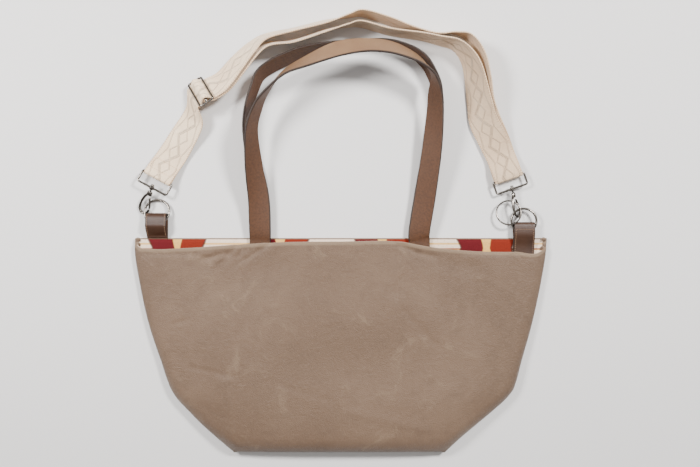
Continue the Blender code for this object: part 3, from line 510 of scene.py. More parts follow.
def wallGrid(front, inset, drop, columns, rows):
    # Wall face moved in by inset: the crown rises on quarter ellipses from the
    # seam at the sides and the base to the wall's own height
    sideRoll = (bag["sideRoll"] if front else bag["backRoll"]) - inset
    baseRoll = (bag["baseRoll"] if front else bag["backRoll"]) - inset
    count = bag["arc"]
    arc = 1 - np.cos(np.radians(np.linspace(0, 90, count)))
    edge = sideRoll * arc
    kind = np.repeat([0, 1, 2], [count, columns - 1, count])  # left edge, middle, right edge
    value = np.concatenate([edge, np.arange(1, columns) / columns, edge[::-1]])
    inside = 1 - sideRoll / half
    share = np.where(kind == 0, -1 + value / half,
                     np.where(kind == 2, 1 - value / half, (2 * value - 1) * inside))
    dip = smoothTable(rimDips, share, 1) * bagHeight if front else 0 * share
    top = bag["rimY"] - dip - drop
    low = bag["baseY"] + inset + baseRoll * arc
    start = low[-1]
    up = start + (top[:, None] - start) * (np.arange(1, rows + 1) / rows)[None]
    y = np.concatenate([np.broadcast_to(low, (len(share), count)), up], 1)
    h = (y - bag["baseY"]) / bagHeight
    above, below = np.minimum(h + bag["slantStep"], 1), np.maximum(h - bag["slantStep"], 0)
    # a distance square to the slanted side is longer by this much when measured across
    slantLeft, slantRight = (np.hypot(1, (smoothTable(outline, above, k) - smoothTable(outline, below, k))
                                      * half / ((above - below) * bagHeight)) for k in (1, 2))
    left = -half * smoothTable(outline, h, 1) + inset * slantLeft
    right = half * smoothTable(outline, h, 2) - inset * slantRight
    kind, value = kind[:, None], value[:, None]
    leftEdge, rightEdge = left + sideRoll * slantLeft, right - sideRoll * slantRight
    x = np.where(kind == 0, left + value * slantLeft, np.where(
        kind == 2, right - value * slantRight, leftEdge + (rightEdge - leftEdge) * value))
    side = np.minimum((x - left) / slantLeft, (right - x) / slantRight)
    crown = roll(side, sideRoll) * roll(y - bag["baseY"] - inset, baseRoll)
    if front:
        reach = half * np.where(x < 0, smoothTable(outline, h, 1), smoothTable(outline, h, 2))
        fall = bag["crownFall"] * np.minimum(np.abs(x) / reach, 1) ** 3
        lift = bag["frontLift"] * smoothTable(frontProfile, h, 1) * (1 - fall) + foldDepth(x, y)
        lowZ = seamLift(y) + bag["seamGap"] / 2
        z = lowZ + (lift - inset - lowZ) * crown
    else:
        highZ = seamLift(y) - bag["seamGap"] / 2
        z = inset + (highZ - inset) * (1 - crown)
        if inset > 0:
            bulge = (1 - smoothStep(x / half, *bag["bulgeAcross"])) * smoothStep(h, *bag["bulgeUp"])
            z = z + bag["bulge"] * bulge * crown
    return np.stack([x, y, z], -1)


def edgeLips(grid, front):
    # Rows and columns that turn inwards at the seam, on three sides
    sink = -bag["seamGap"] if front else bag["seamGap"]

    def lip(points, away, deep, step):
        return points + np.array(away) * step * mm + np.array([0, 0, deep * sink])

    leftIn = [lip(grid[:1], (1, 0, 0), deep, step) for step, deep in lipSteps]
    rightIn = [lip(grid[-1:], (-1, 0, 0), deep, step) for step, deep in lipSteps[::-1]]
    grid = np.concatenate(leftIn + [grid] + rightIn, 0)
    baseIn = [lip(grid[:, :1], (0, 1, 0), deep, step) for step, deep in lipSteps]
    return np.concatenate(baseIn + [grid], 1)


def hem(grid, front):
    # The leather turns over the rim: half a circle, then a short run down inside
    r = bag["hemRadius"]
    ahead = unit(grid[:, -1] - grid[:, -3])
    across = unit(np.gradient(grid[:, -1], axis=0))
    out = unit(np.cross(across, ahead))
    if not front:
        out = -out
    rim = grid[:, -1]
    turn = np.radians(np.linspace(*bag["hemSweep"]))
    curl = [rim + r * (ahead * np.sin(a) - out * (1 - np.cos(a))) for a in turn]
    down = [rim - 2 * r * out - ahead * d for d in bag["hemTurnIn"]]
    return np.concatenate([grid, np.stack(curl + down, 1)], 1)


def walled(obj, thickness):
    # Gives a one-sided sheet its thickness, inwards from its face
    wall = obj.modifiers.new("Thickness", "SOLIDIFY")
    wall.thickness = thickness
    wall.offset = -1.0
    return obj


def buildWalls():
    # Each wall is a leather sheet with rolled sides, and its lining a smaller one inside it
    for front, name, node in ((True, "frontWall", "front_panel"), (False, "backWall", "back_panel")):
        rows = bag["frontRows"] if front else bag["rows"]
        grid = wallGrid(front, 0.0, bag["hemRadius"], bag["columns"], rows)
        grid = edgeLips(hem(grid, front), front)
        uv = grid[..., :2].copy()
        rim = np.zeros(grid.shape[:2])
        rim[:, -14:-3] = 1.0  # the hem's curl, which gets a painted highlight
        shell = gridObject(name, grid, "bag", bodyLeather, uv=uv, values={"rim": rim})
        if not front:
            shell.data.flip_normals()
        walled(shell, bag["leather"])
        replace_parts(shell, node)
        grid = wallGrid(front, bag["liningInset"], bag["liningDrop"], bag["liningColumns"], bag["rows"])
        cloth = gridObject(name + "Lining", grid, "bag", lining)
        if not front:
            cloth.data.flip_normals()
        walled(cloth, bag["lining"])
        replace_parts(cloth, node.replace("panel", "lining"))


buildWalls()
print("body made")

# Handles and tabs

stripProfile = {"corner": 0.9, "shoulder": 0.3, "across": 14, "round": 5}


def widthVector(swing, lean):
    # Direction of a strap's width: swung about the vertical, then leant up from level
    s, l = np.radians(swing), np.radians(lean)
    return np.stack([np.cos(s) * np.cos(l), np.sin(s) * np.cos(l), np.sin(l)], -1)


def stripFrame(rows, square=True):
    # Places, width directions, face directions and run lengths of the stations
    rows = np.asarray(rows, float)
    place = rows[:, :3]
    run = unit(np.gradient(place, axis=0))
    across = widthVector(rows[:, 3], rows[:, 4])
    if square:
        across = unit(across - run * (across * run).sum(-1, keepdims=True))
    along = np.concatenate([[0], np.cumsum(np.linalg.norm(np.diff(place, axis=0), axis=1))])
    return place, across, unit(np.cross(run, across)), along


def strip(name, rows, width, thickness, mat, square=True):
    # Flat strap with rounded edges: a rounded slot section carried along
    # stations of place, swing and lean
    place, across, face, along = stripFrame(rows, square)
    r = thickness / 2
    inner = width / 2 - r * stripProfile["corner"]
    k, c = stripProfile["across"], stripProfile["round"]
    shoulder = inner - r * stripProfile["shoulder"]
    flat = np.concatenate([[-inner], np.linspace(-shoulder, shoulder, k - 2), [inner]])
    arc = np.radians(np.linspace(90, -90, c + 2)[1:-1])
    u = np.concatenate([flat, inner + r * stripProfile["corner"] * np.cos(arc), flat[::-1],
                        -inner - r * stripProfile["corner"] * np.cos(arc)])
    w = np.concatenate([np.full(k, r), r * np.sin(arc), np.full(k, -r), -r * np.sin(arc)])
    onTop = np.concatenate([np.ones(k), np.full(c, 0.5), np.zeros(k), np.full(c, 0.5)])
    onEdge = np.concatenate([np.zeros(k), np.ones(c), np.zeros(k), np.ones(c)])
    grid = place[:, None] + across[:, None] * u[None, :, None] + face[:, None] * w[None, :, None]
    uv = np.stack(np.broadcast_arrays(along[:, None], u[None]), -1)
    n = len(rows)
    obj = gridObject(name, grid, "bag", mat, loopV=True, caps=True, uv=uv,
                     values={"top": np.tile(onTop, n), "edge": np.tile(onEdge, n)})
    return faceOut(obj)


def seamLine(rows, square, spots, rise):
    # Points on a strap's face: run length and distance across at each spot
    place, across, face, along = stripFrame(rows, square)
    spots = np.asarray(spots, float)
    at, side, up = (np.stack([np.interp(spots[:, 0], along, part[:, k]) for k in range(3)], -1)
                    for part in (place, across, face))
    return at + side * spots[:, 1:] + up * rise, up * np.sign(rise)


stitch = {"thick": 0.30 * mm, "from": 0.14, "to": 0.86, "arch": 0.7, "sides": 6,
          "taper": (0.35, 0.9, 1.0, 0.9, 0.35)}


def stitches(name, lines, body, mat):
    # One raised bead per gap between two points, six sided and tapered, with
    # the centre line lifted on half a sine
    starts = np.concatenate([points[:-1] for points, normals in lines])
    ends = np.concatenate([points[1:] for points, normals in lines])
    up = np.concatenate([normals[:-1] for points, normals in lines])
    count, sides = len(stitch["taper"]), stitch["sides"]
    t = np.linspace(stitch["from"], stitch["to"], count)
    hump = np.sin(np.linspace(0, math.pi, count)) * stitch["thick"] * stitch["arch"]
    bead = starts[:, None] + (ends - starts)[:, None] * t[None, :, None] + up[:, None] * hump[None, :, None]
    side = unit(np.cross(unit(ends - starts), up))
    turn = np.arange(sides) * 2 * math.pi / sides
    radius = stitch["thick"] * np.array(stitch["taper"])[None, :, None, None]
    ring = bead[:, :, None] + radius * (side[:, None, None] * np.cos(turn)[None, None, :, None]
                                        + up[:, None, None] * np.sin(turn)[None, None, :, None])
    first = np.arange(len(starts))[:, None, None] * count * sides
    i, j = np.arange(count - 1)[None, :, None] * sides, np.arange(sides)[None, None, :]
    j2 = (j + 1) % sides
    quads = np.stack([first + i + j, first + i + j2, first + i + sides + j2, first + i + sides + j], -1)
    cap = np.arange(sides)
    caps = np.concatenate([first[:, 0] + cap[::-1], first[:, 0] + (count - 1) * sides + cap])
    mesh = bpy.data.meshes.new(name)
    mesh.from_pydata(ring.reshape(-1, 3).tolist(), [], quads.reshape(-1, 4).tolist() + caps.tolist())
    mesh.shade_smooth()
    return faceOut(finished(name, mesh, body, mat))


handle = {"width": 25 * mm, "thick": 2.8 * mm, "spread": 188.5 * mm, "centre": -2.7 * mm, "reach": 222 * mm,
          "lift": 48 * mm, "tuck": 24 * mm, "drop": 0.016, "frontEnd": 7.2 * mm, "backEnd": 3.75 * mm,
          "steps": 14}
# share of half the spread, of the reach and of the lift, and lean in degrees
frontHandleRows = (
    (-0.998, 0.06, 0.215, -2), (-1.010, 0.23, 0.31, -20), (-1.055, 0.40, 0.50, -43),
    (-1.070, 0.58, 0.69, -65), (-0.990, 0.695, 0.79, -76), (-0.892, 0.764, 0.875, -90),
    (-0.670, 0.864, 0.94, -110),
    (-0.392, 0.921, 0.98, -128), (-0.010, 0.984, 1.00, -145), (0.329, 1.004, 1.00, -139),
    (0.619, 0.995, 0.98, -134), (0.872, 0.958, 0.94, -122), (1.032, 0.919, 0.875, -108),
    (1.160, 0.862, 0.77, -90), (1.184, 0.778, 0.67, -58), (1.185, 0.663, 0.56, -44),
    (1.153, 0.482, 0.44, -27), (1.082, 0.247, 0.29, -14), (1.012, 0.06, 0.215, -2))
backHandleRows = (
    (-0.998, 0.06, 0.096, -2), (-1.010, 0.23, 0.135, -20), (-1.075, 0.42, 0.232, -52),
    (-1.153, 0.593, 0.285, -75), (-1.136, 0.709, 0.29, -78), (-1.065, 0.810, 0.29, -77),
    (-0.990, 0.885, 0.285, -72),
    (-0.839, 0.935, 0.28, -68), (-0.651, 0.973, 0.28, -68), (-0.439, 1.007, 0.285, -71),
    (-0.114, 1.034, 0.29, -76), (0.337, 1.052, 0.29, -80), (0.638, 1.050, 0.29, -80),
    (0.901, 1.013, 0.29, -76), (1.056, 0.964, 0.285, -72), (1.145, 0.908, 0.285, -72),
    (1.220, 0.821, 0.28, -68), (1.214, 0.698, 0.26, -55), (1.188, 0.539, 0.21, -38),
    (1.088, 0.274, 0.145, -16), (1.012, 0.06, 0.096, -2))


def handleStations(rows, tuckLift):
    # Tucked ends, then the arch, on one cubic; the swing follows the path
    base = bag["rimY"] - handle["drop"] * bagHeight
    ends = []
    for across in (rows[0][0], rows[-1][0]):
        x = handle["centre"] + across * handle["spread"] / 2
        ends.append([(x, base - handle["tuck"] * part, tuckLift, 0.0) for part in (1.0, 0.5, 0.0)])
    middle = [(handle["centre"] + across * handle["spread"] / 2, base + along * handle["reach"],
               high * handle["lift"], lean) for across, along, high, lean in rows]
    path = catmull(ends[0] + middle + ends[1][::-1], handle["steps"])
    run = np.gradient(path[:, :2], axis=0)
    swing = np.degrees(np.unwrap(np.arctan2(run[:, 1], run[:, 0]))) - 90
    return np.column_stack([path[:, :3], swing, path[:, 3]])


def buildHandles():
    # Each handle is one strap, its two ends tucked into the bag's mouth
    ends = {"frontHandle": handle["frontEnd"], "backHandle": handle["backEnd"] + handle["thick"] / 2}
    for name, node, rows in (("frontHandle", "front_handle", frontHandleRows),
                             ("backHandle", "back_handle", backHandleRows)):
        obj = strip(name, handleStations(rows, ends[name]), handle["width"], handle["thick"], handleLeather)
        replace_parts(obj, node)


buildHandles()
print("handles made")

tab = {"width": 24.8 * mm, "thick": 1.4 * mm, "leftReach": 29 * mm, "rightReach": 18.4 * mm,
       "height": 12.6 * mm, "seam": 1.9 * mm, "seamFrom": 0.60, "seamTo": 0.98, "pitch": 2.6 * mm,
       "seamRise": 0.05 * mm, "steps": 6}
ringRadius = 14.6 * mm
# share of half the mouth, place past the rim and height in ring radii, and two tilts in degrees
leftRing = (-0.8935, 2.144, 0.4247, -13.9, -1.0)
rightRing = (0.8833, 1.395, 0.4521, -0.7, 5.7)
keyOffset = (-1.274, 0.665, 0.165)  # from the right ring's centre, in ring radii
# past the rim and up, as shares of the tab's reach and height
leftTabPath = ((-0.690, 0.206), (-0.276, 0.206), (0.207, 0.206), (0.483, 0.206), (0.800, 0.206),
               (0.938, 0.302), (1.000, 0.524), (0.945, 0.786), (0.828, 0.937), (0.621, 1.000),
               (0.466, 0.984), (0.276, 0.730), (0.124, 0.429), (0.031, 0.349))
rightTabPath = tuple((y * mm / tab["rightReach"], z * mm / tab["height"]) for y, z in (
    (-30, 4.3), (-14, 4.3), (1.5, 4.3), (6, 3.2), (13.2, 2.5), (17.2, 3.6), (18.4, 6.4), (17.2, 9.5),
    (13.4, 10.8), (5, 10.8), (-1, 9.2), (-8, 7.0), (-16, 6.0), (-23, 6.0), (-30, 6.0)))


def ringPlace(ring):
    # A tab ring's centre
    return np.array([ring[0] * half, bag["rimY"] + ring[1] * ringRadius, ring[2] * ringRadius])


def buildTabs():
    # Each tab is a strap folded over its ring, stitched along both sides and across
    for name, node, ring, reach, rows in (
            ("leftTab", "left_tab", leftRing, tab["leftReach"], leftTabPath),
            ("rightTab", "right_tab", rightRing, tab["rightReach"], rightTabPath)):
        path = [(ring[0] * half, bag["rimY"] + a * reach, b * tab["height"], 0.0, 0.0) for a, b in rows]
        rows = catmull(path, tab["steps"])
        obj = strip(name, rows, tab["width"], tab["thick"], tabLeather)
        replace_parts(obj, node)
        length = stripFrame(rows)[3][-1]
        side, rise = tab["width"] / 2 - tab["seam"], tab["thick"] / 2 + tab["seamRise"]
        runs = np.arange(tab["seamFrom"] * length, tab["seamTo"] * length, tab["pitch"])
        lines = [seamLine(rows, True, [(a, sign * side) for a in runs], rise) for sign in (-1, 1)]
        across = np.arange(-side, side + tab["pitch"] / 2, tab["pitch"])
        lines.append(seamLine(rows, True, [(runs[0], b) for b in across], rise))
        stitches(name + "Stitches", lines, "bag", thread)


buildTabs()
print("tabs made")

# Rings, hooks and loops

hardware = {"wire": 1.1 * mm, "loopWire": 1.25 * mm, "ringWire": 1.4 * mm, "keyRadius": 14.4 * mm,
            "keyWire": 0.899 * mm, "keyFlat": 0.65, "keyTilts": (-9.5, 3.9), "keyStep": 0.589 * mm,
            "keyTurns": (0.02, 2.04, 260), "keyCross": (0.95, 1.07), "bowSteps": 8,
            "loopDepth": 14.2 * mm, "corner": 2.2 * mm, "sideRoom": 0.9 * mm, "strapWidth": 34.5 * mm,
            "hookLength": 33.7 * mm, "hookHalf": 6.2 * mm, "hookWire": 1.45 * mm, "pin": 1.0 * mm,
            "neckFlat": 0.56, "leverFlat": 0.9, "leverBow": 0.5 * mm, "leverBack": 1.0 * mm,
            "barrel": 2.6 * mm, "barrelLength": 4.4 * mm}
# tip from its ring's centre in ring radii, then heading, pitch and roll in degrees
hookPoses = {"left": ((-1.267, -0.0685, -0.298), -115.2, 16.7, -7.2),
             "right": ((-0.452, 0.349, 0.0438), -77.2, 0.5, 43.7)}
barPoses = {"left": (9.6 * mm, -28.3), "right": (8.0 * mm, 19.4)}  # height and swing
# hook's middle line: shares of half its width and of its length
bowPath = ((0.10, 0.19), (0.24, 0.25), (0.68, 0.385), (0.94, 0.56), (1.00, 0.74), (0.90, 0.875),
           (0.52, 0.967), (0.00, 1.00), (-0.52, 0.967), (-0.90, 0.875), (-1.00, 0.79))
bowThick = ((0, 0.12, 0.5, 0.9, 1), (1.5, 1.05, 1.05, 1, 0.8))  # places along it, thickness there
# turned parts on the hook's axis: shares of its length, radii in millimetres
neckTurning = ((0.128, 0.135, 0.16, 0.22, 0.28, 0.305, 0.312), (1.6, 2.5, 3.2, 3.5, 3.4, 2.9, 1.7))
headTurning = ((-0.124, -0.121, -0.106, -0.082, -0.077), (0.5, 1.4, 2.0, 2.1, 1.6))
pinEnds = (-0.108, 0.14)
leverFoot, leverTip = (-0.30, 0.372), (-1.0, 0.79)
leverThick = ((0, 0.05, 0.2, 0.8, 0.96, 1), (0.8, 1.25, 1.35, 1.15, 1.05, 0.6))
barrelTurning = ((-1, -0.96, -0.6, 0.6, 0.96, 1), (0.85, 1, 1.04, 1.04, 1, 0.85))


def tiltedAxes(tiltX, tiltY):
    # Across, along and square to a level disc after two tilts in degrees
    side = unit(np.array([1, 0, math.tan(math.radians(tiltY))]))
    ahead = np.array([0, 1, math.tan(math.radians(tiltX))])
    ahead = unit(ahead - side * (ahead @ side))
    return side, ahead, np.cross(side, ahead)


ringTurn = np.arange(96) * 2 * math.pi / 96


def ringPath(centre, axes, radius, turn):
    # Circle round the centre at the given angles
    return centre + radius * (np.cos(turn)[:, None] * axes[0] + np.sin(turn)[:, None] * axes[1])


def buildRings():
    # Two closed rings of round wire, and the key ring
    for name, node, ring in (("leftRing", "left_ring", leftRing), ("rightRing", "right_ring", rightRing)):
        axes = tiltedAxes(*ring[3:])
        obj = sweep(name, ringPath(ringPlace(ring), axes, ringRadius, ringTurn), hardware["ringWire"], "bag",
                    nickel, 16, True, axes[2])
        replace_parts(obj, node)
    # split ring: two flat turns of one wire, the second laid on the first
    axes = tiltedAxes(*hardware["keyTilts"])
    centre = ringPlace(rightRing) + np.array(keyOffset) * ringRadius
    turns = np.linspace(*hardware["keyTurns"])
    rise = np.interp(turns, hardware["keyCross"], (-1, 1)) * hardware["keyStep"]
    path = ringPath(centre, axes, hardware["keyRadius"], turns * 2 * math.pi) + rise[:, None] * axes[2]
    obj = sweep("keyRing", path, hardware["keyWire"], "bag", nickel, 12, False, axes[2],
                flat=hardware["keyFlat"])
    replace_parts(obj, "key_ring")


def hookAxes(name):
    # Pivot, then the hook's side, length and face directions
    ring = ringPlace(leftRing if name == "left" else rightRing)
    offset, heading, pitch, rollTurn = hookPoses[name]
    h, p, r = (math.radians(a) for a in (heading, pitch, rollTurn))
    ahead = np.array([math.cos(h) * math.cos(p), math.sin(h) * math.cos(p), -math.sin(p)])
    level = unit(np.cross(ahead, [0, 0, 1]))
    up = np.cross(level, ahead)
    side = level * math.cos(r) + up * math.sin(r)
    pivot = ring + np.array(offset) * ringRadius - ahead * hardware["hookLength"]
    return pivot, side, ahead, np.cross(side, ahead)


def buildHook(name):
    # Bow, neck, swivel pin and its head as one piece, and the lever as another
    pivot, side, ahead, up = hookAxes(name)
    body = name + "_hook"

    def at(across, along):
        return (pivot + np.multiply.outer(across, side) * hardware["hookHalf"]
                + np.multiply.outer(along, ahead) * hardware["hookLength"])

    def turned(part, turning, sides, flat=1.0):
        places, radii = turning
        return sweep(part, at(0.0, places), np.array(radii) * mm, body, nickel, sides, up=up,
                     flat=flat)

    bow = catmull(bowPath, hardware["bowSteps"])
    thick = hardware["hookWire"] * np.interp(np.linspace(0, 1, len(bow)), *bowThick)
    parts = [sweep("bow", at(bow[:, 0], bow[:, 1]), thick, body, nickel, 16, up=up),
             turned("neck", neckTurning, 20, hardware["neckFlat"]),
             sweep("pin", at(0.0, pinEnds), hardware["pin"], body, nickel, 14, up=up),
             turned("head", headTurning, 18)]
    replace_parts(joined(name + "Hook", parts), name + "_hook")
    # sprung lever from its pivot to the bow's tip, bowed outwards on half a sine
    foot, tip = at(*leverFoot), at(*leverTip) - ahead * hardware["leverBack"]
    t = np.linspace(0, 1, 24)
    bulge = np.sin(t * math.pi) * hardware["leverBow"]
    line = foot + np.multiply.outer(t, tip - foot) - np.multiply.outer(bulge, side)
    lever = sweep(name + "Gate", line, np.interp(t, *leverThick) * mm, name + "_gate", nickel, 14,
                  up=up, flat=hardware["leverFlat"])
    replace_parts(lever, name + "_gate")
    return pivot, ahead, up


def rectanglePath(length, depth, corner, origin, side, ahead):
    # Rounded rectangle whose first bar is centred on the origin: six points
    # round each corner, five steps on each straight
    x, y = length / 2 - corner, depth - corner
    turn = np.radians(np.linspace(0, 90, 6))
    flat = np.concatenate([np.stack([cx + corner * np.cos(a), cy + corner * np.sin(a)], -1)
                           for cx, cy, a in ((x, corner, turn - math.pi / 2), (x, y, turn),
                                             (-x, y, turn + math.pi / 2), (-x, corner, turn + math.pi))])
    pieces = []
    for k, point in enumerate(flat):
        steps = 5 if k % len(turn) == len(turn) - 1 else 1
        t = (np.arange(steps) / steps)[:, None]
        pieces.append(point + (flat[(k + 1) % len(flat)] - point) * t)
    flat = np.concatenate(pieces)
    return origin + flat[:, :1] * side + flat[:, 1:] * ahead


def barAt(name, pivot):
    # Middle of the loop's bar, seen from above one loop depth away from the hook's pivot
    lift, swing = barPoses[name]
    h = math.radians(swing + 90)
    bar = pivot + np.array([math.cos(h), math.sin(h), 0]) * hardware["loopDepth"]
    bar[2] = lift
    return bar


def buildLoop(name, pivot, ahead, up):
    # Wire rectangle from the webbing's bar to the pivot, with a barrel round the hook's pin
    bar = barAt(name, pivot)
    side = widthVector(barPoses[name][1], 0.0)
    run = unit(pivot - bar)
    run = unit(run - side * (run @ side))
    length = hardware["strapWidth"] + 2 * (hardware["sideRoom"] + hardware["wire"])
    path = rectanglePath(length, np.linalg.norm(pivot - bar), hardware["corner"], bar, side, run)
    parts = [sweep("loop", path, hardware["loopWire"], "bag", nickel, 14, True, np.cross(side, run))]
    places, radii = barrelTurning
    ends = pivot + np.multiply.outer(places, ahead) * hardware["barrelLength"] / 2
    radii = np.array(radii) * hardware["barrel"]
    parts.append(sweep("barrel", ends, radii, "bag", nickel, 20, up=up))
    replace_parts(joined(name + "Loop", parts), name + "_loop")
    return bar


buildRings()
bars = {}
for hookName in ("left", "right"):
    hookPivot, hookAhead, hookUp = buildHook(hookName)
    bars[hookName] = buildLoop(hookName, hookPivot, hookAhead, hookUp)
print("hooks made")

# Shoulder webbing

strap = {"width": 34.5 * mm, "thick": 1.7 * mm, "reach": 193 * mm, "gap": 0.3 * mm, "steps": 12,
         "sliderAcross": 0.126, "sliderAlong": 0.519, "sliderSwing": -57, "sliderLean": 30,
         "sliderLevel": 4.8, "sliderPitch": 9.0 * mm, "sliderRoom": 1.3 * mm, "sliderWire": 1.1 * mm,
         "frameWire": 1.25 * mm, "under": 1.90, "tailSlope": -13, "tailDrop": 3.80, "boxNear": 34 * mm,
         "boxFar": 47 * mm, "boxSide": 14.3 * mm, "boxRise": 0.1 * mm, "boxPoints": (12, 6)}
# beside the bars, ahead and up in strap thicknesses
leftTail, leftStart, leftJoint = ((11.8, -0.60), (5.9, -0.75), (2.6, -1.25)), ((2.6, 1.25),), ((6.5, 0.75),)
rightBelow, rightAbove = ((6.5, -1.0), (2.6, -1.4)), ((6.5, 0.9), (2.6, 1.4))
# round the bars: start and end in degrees, stations
leftFold, sliderFold = (-110, -250, 17), (115, 260, 17)
rightFoldBelow, rightFoldAbove = (-110, -164, 9), (110, 164, 9)
# through the slider: ahead in pitches, up in strap thicknesses
sliderPass = ((-1.45, -2.3), (-1.0, -strap["under"]), (0.0, 3.15), (1.0, -strap["under"]), (1.45, -2.3))
# share of the span and of the reach, direction of the width, lean, height in thicknesses
outerRise = ((0.039, 0.140, -32, 2, 1.2), (0.066, 0.236, -36, 8, 0.4), (0.103, 0.375, -45, 22, 0.3))
outerArch = (
    (0.187, 0.590, -57, 36, 2.3), (0.231, 0.702, -47, 44, 2.0), (0.271, 0.794, -50, 54, 1.6),
    (0.311, 0.857, -62, 64, 0.7), (0.390, 0.899, -73, 69, 0.2), (0.481, 0.949, -72, 69, 0.0),
    (0.543, 0.981, -72, 80, 0.0), (0.586, 0.996, -88, 87, 0.0), (0.661, 0.946, -115, 90, 0.0),
    (0.719, 0.903, -108, 86, 0.0), (0.789, 0.876, -94, 76, 0.0), (0.843, 0.878, -95, 78, 0.0),
    (0.885, 0.844, -128, 90, 0.0), (0.911, 0.732, -160, 107, 0.0), (0.921, 0.593, -168, 118, 0.0),
    (0.922, 0.468, -168, 136, 0.0), (0.935, 0.361, -158, 152, 0.0), (0.959, 0.247, -158, 166, 0.0),
    (0.981, 0.132, -160, 178, 0.4))
innerArch = (
    (0.190, 0.580, -57, 36, 0.3), (0.237, 0.690, -47, 44, 0.2), (0.280, 0.776, -50, 56, 0.2),
    (0.322, 0.813, -66, 68, 0.3), (0.390, 0.830, -75, 70, 0.2), (0.481, 0.895, -70, 70, 0.0),
    (0.543, 0.923, -74, 80, 0.0), (0.583, 0.930, -90, 87, 0.0), (0.661, 0.884, -110, 88, 0.0),
    (0.750, 0.856, -98, 90, 0.0), (0.803, 0.829, -103, 93, 0.0), (0.846, 0.805, -118, 98, 0.0),
    (0.877, 0.741, -145, 108, 0.0), (0.896, 0.650, -160, 120, 0.3))
# the outer arch's row that it lies on, share of the width across, thicknesses off its face
innerLay = ((-4, -0.05, 1.8), (-3, -0.09, 1.8), (-2, -0.06, 1.7), (-1, -0.02, 1.7))


def strapRows(rows):
    # Table rows in metres; the height is what the leaning width needs to rest
    r = np.array(rows, float)
    tilt = np.radians(r[:, 3])
    rest = (strap["width"] * np.abs(np.sin(tilt)) + strap["thick"] * np.abs(np.cos(tilt))) / 2 + strap["gap"]
    span = bars["right"][0] - bars["left"][0]
    return np.column_stack([bars["left"][0] + r[:, 0] * span, bars["left"][1] + r[:, 1] * strap["reach"],
                            rest + r[:, 4] * strap["thick"], r[:, 2], r[:, 3]])


def posed(at, swing, lean):
    # Points as stations that share one swing and lean
    return np.column_stack([at, np.full(len(at), swing), np.full(len(at), lean)])


def stations(origin, ahead, up, places, swing, lean):
    # Stations at places counted in strap thicknesses from an origin
    p = np.array(places, float)
    return posed(origin + (p[:, :1] * ahead + p[:, 1:] * up) * strap["thick"], swing, lean)


def wrapped(bar, ahead, up, fold, swing, lean):
    # Stations round a bar: 0 degrees lies ahead, 90 degrees up
    a = np.radians(np.linspace(*fold))
    radius = hardware["wire"] + strap["gap"] + strap["thick"] / 2
    return posed(bar + radius * (np.cos(a)[:, None] * ahead + np.sin(a)[:, None] * up), swing, lean)


def lieOn(row, share, level):
    # A station that lies on another one, moved over its width and off its face
    width = widthVector(row[3], row[4])
    run = unit(np.array([width[1], -width[0], 0]))
    up = np.cross(run, width)
    up = up if up[2] > 0 else -up
    return [*(row[:3] + width * share * strap["width"] + up * level * strap["thick"]), row[3], row[4]]


def headed(swing, slope=0.0):
    # Direction along the strap for a width that swings so, rising by the slope
    h, p = math.radians(swing + 90), math.radians(slope)
    return np.array([math.cos(h) * math.cos(p), math.sin(h) * math.cos(p), math.sin(p)])


def sliderAxes():
    # Slider's centre, then its directions across the webbing, along it and off it
    side = widthVector(strap["sliderSwing"], strap["sliderLean"])
    ahead = headed(strap["sliderSwing"])
    rest = strap["width"] / 2 * math.sin(math.radians(strap["sliderLean"])) + strap["thick"] / 2
    span = bars["right"][0] - bars["left"][0]
    centre = np.array([bars["left"][0] + strap["sliderAcross"] * span,
                       bars["left"][1] + strap["sliderAlong"] * strap["reach"],
                       rest + strap["sliderLevel"] * strap["thick"]])
    return centre, side, ahead, np.cross(side, ahead)


def buildSlider():
    # Rectangular wire frame two pitches long, with a bar across its middle
    centre, side, ahead, up = sliderAxes()
    length = strap["width"] + 2 * strap["sliderRoom"] + 2 * strap["sliderWire"]
    path = rectanglePath(length, 2 * strap["sliderPitch"], hardware["corner"],
                         centre - ahead * strap["sliderPitch"], side, ahead)
    bar = [centre - side * length / 2, centre + side * length / 2]
    parts = [sweep("frame", path, strap["frameWire"], "bag", nickel, 14, True, up),
             sweep("bar", bar, strap["sliderWire"], "bag", nickel, 14, up=up)]
    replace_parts(joined("slider_frame", parts), "slider")
    return centre, ahead, up


def webbingStrip(name, rows, node):
    # One layer of webbing, its width kept as the tables lean it
    obj = strip(name, rows, strap["width"], strap["thick"], webbing, square=False)
    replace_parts(obj, node)


def boxStitching(rows):
    # Four runs of stitches over the folded end, on the face that shows
    near, far, boxHalf = (strap[key] for key in ("boxNear", "boxFar", "boxSide"))
    rise = -strap["thick"] / 2 - strap["boxRise"]
    wide, deep = strap["boxPoints"]
    across, along = np.linspace(-boxHalf, boxHalf, wide), np.linspace(near, far, deep)
    lines = [seamLine(rows, False, [(a, b) for b in across], rise) for a in (near, far)]
    lines += [seamLine(rows, False, [(a, b) for a in along], rise) for b in (-boxHalf, boxHalf)]
    stitches("webbingStitches", lines, "bag", webbingThread)


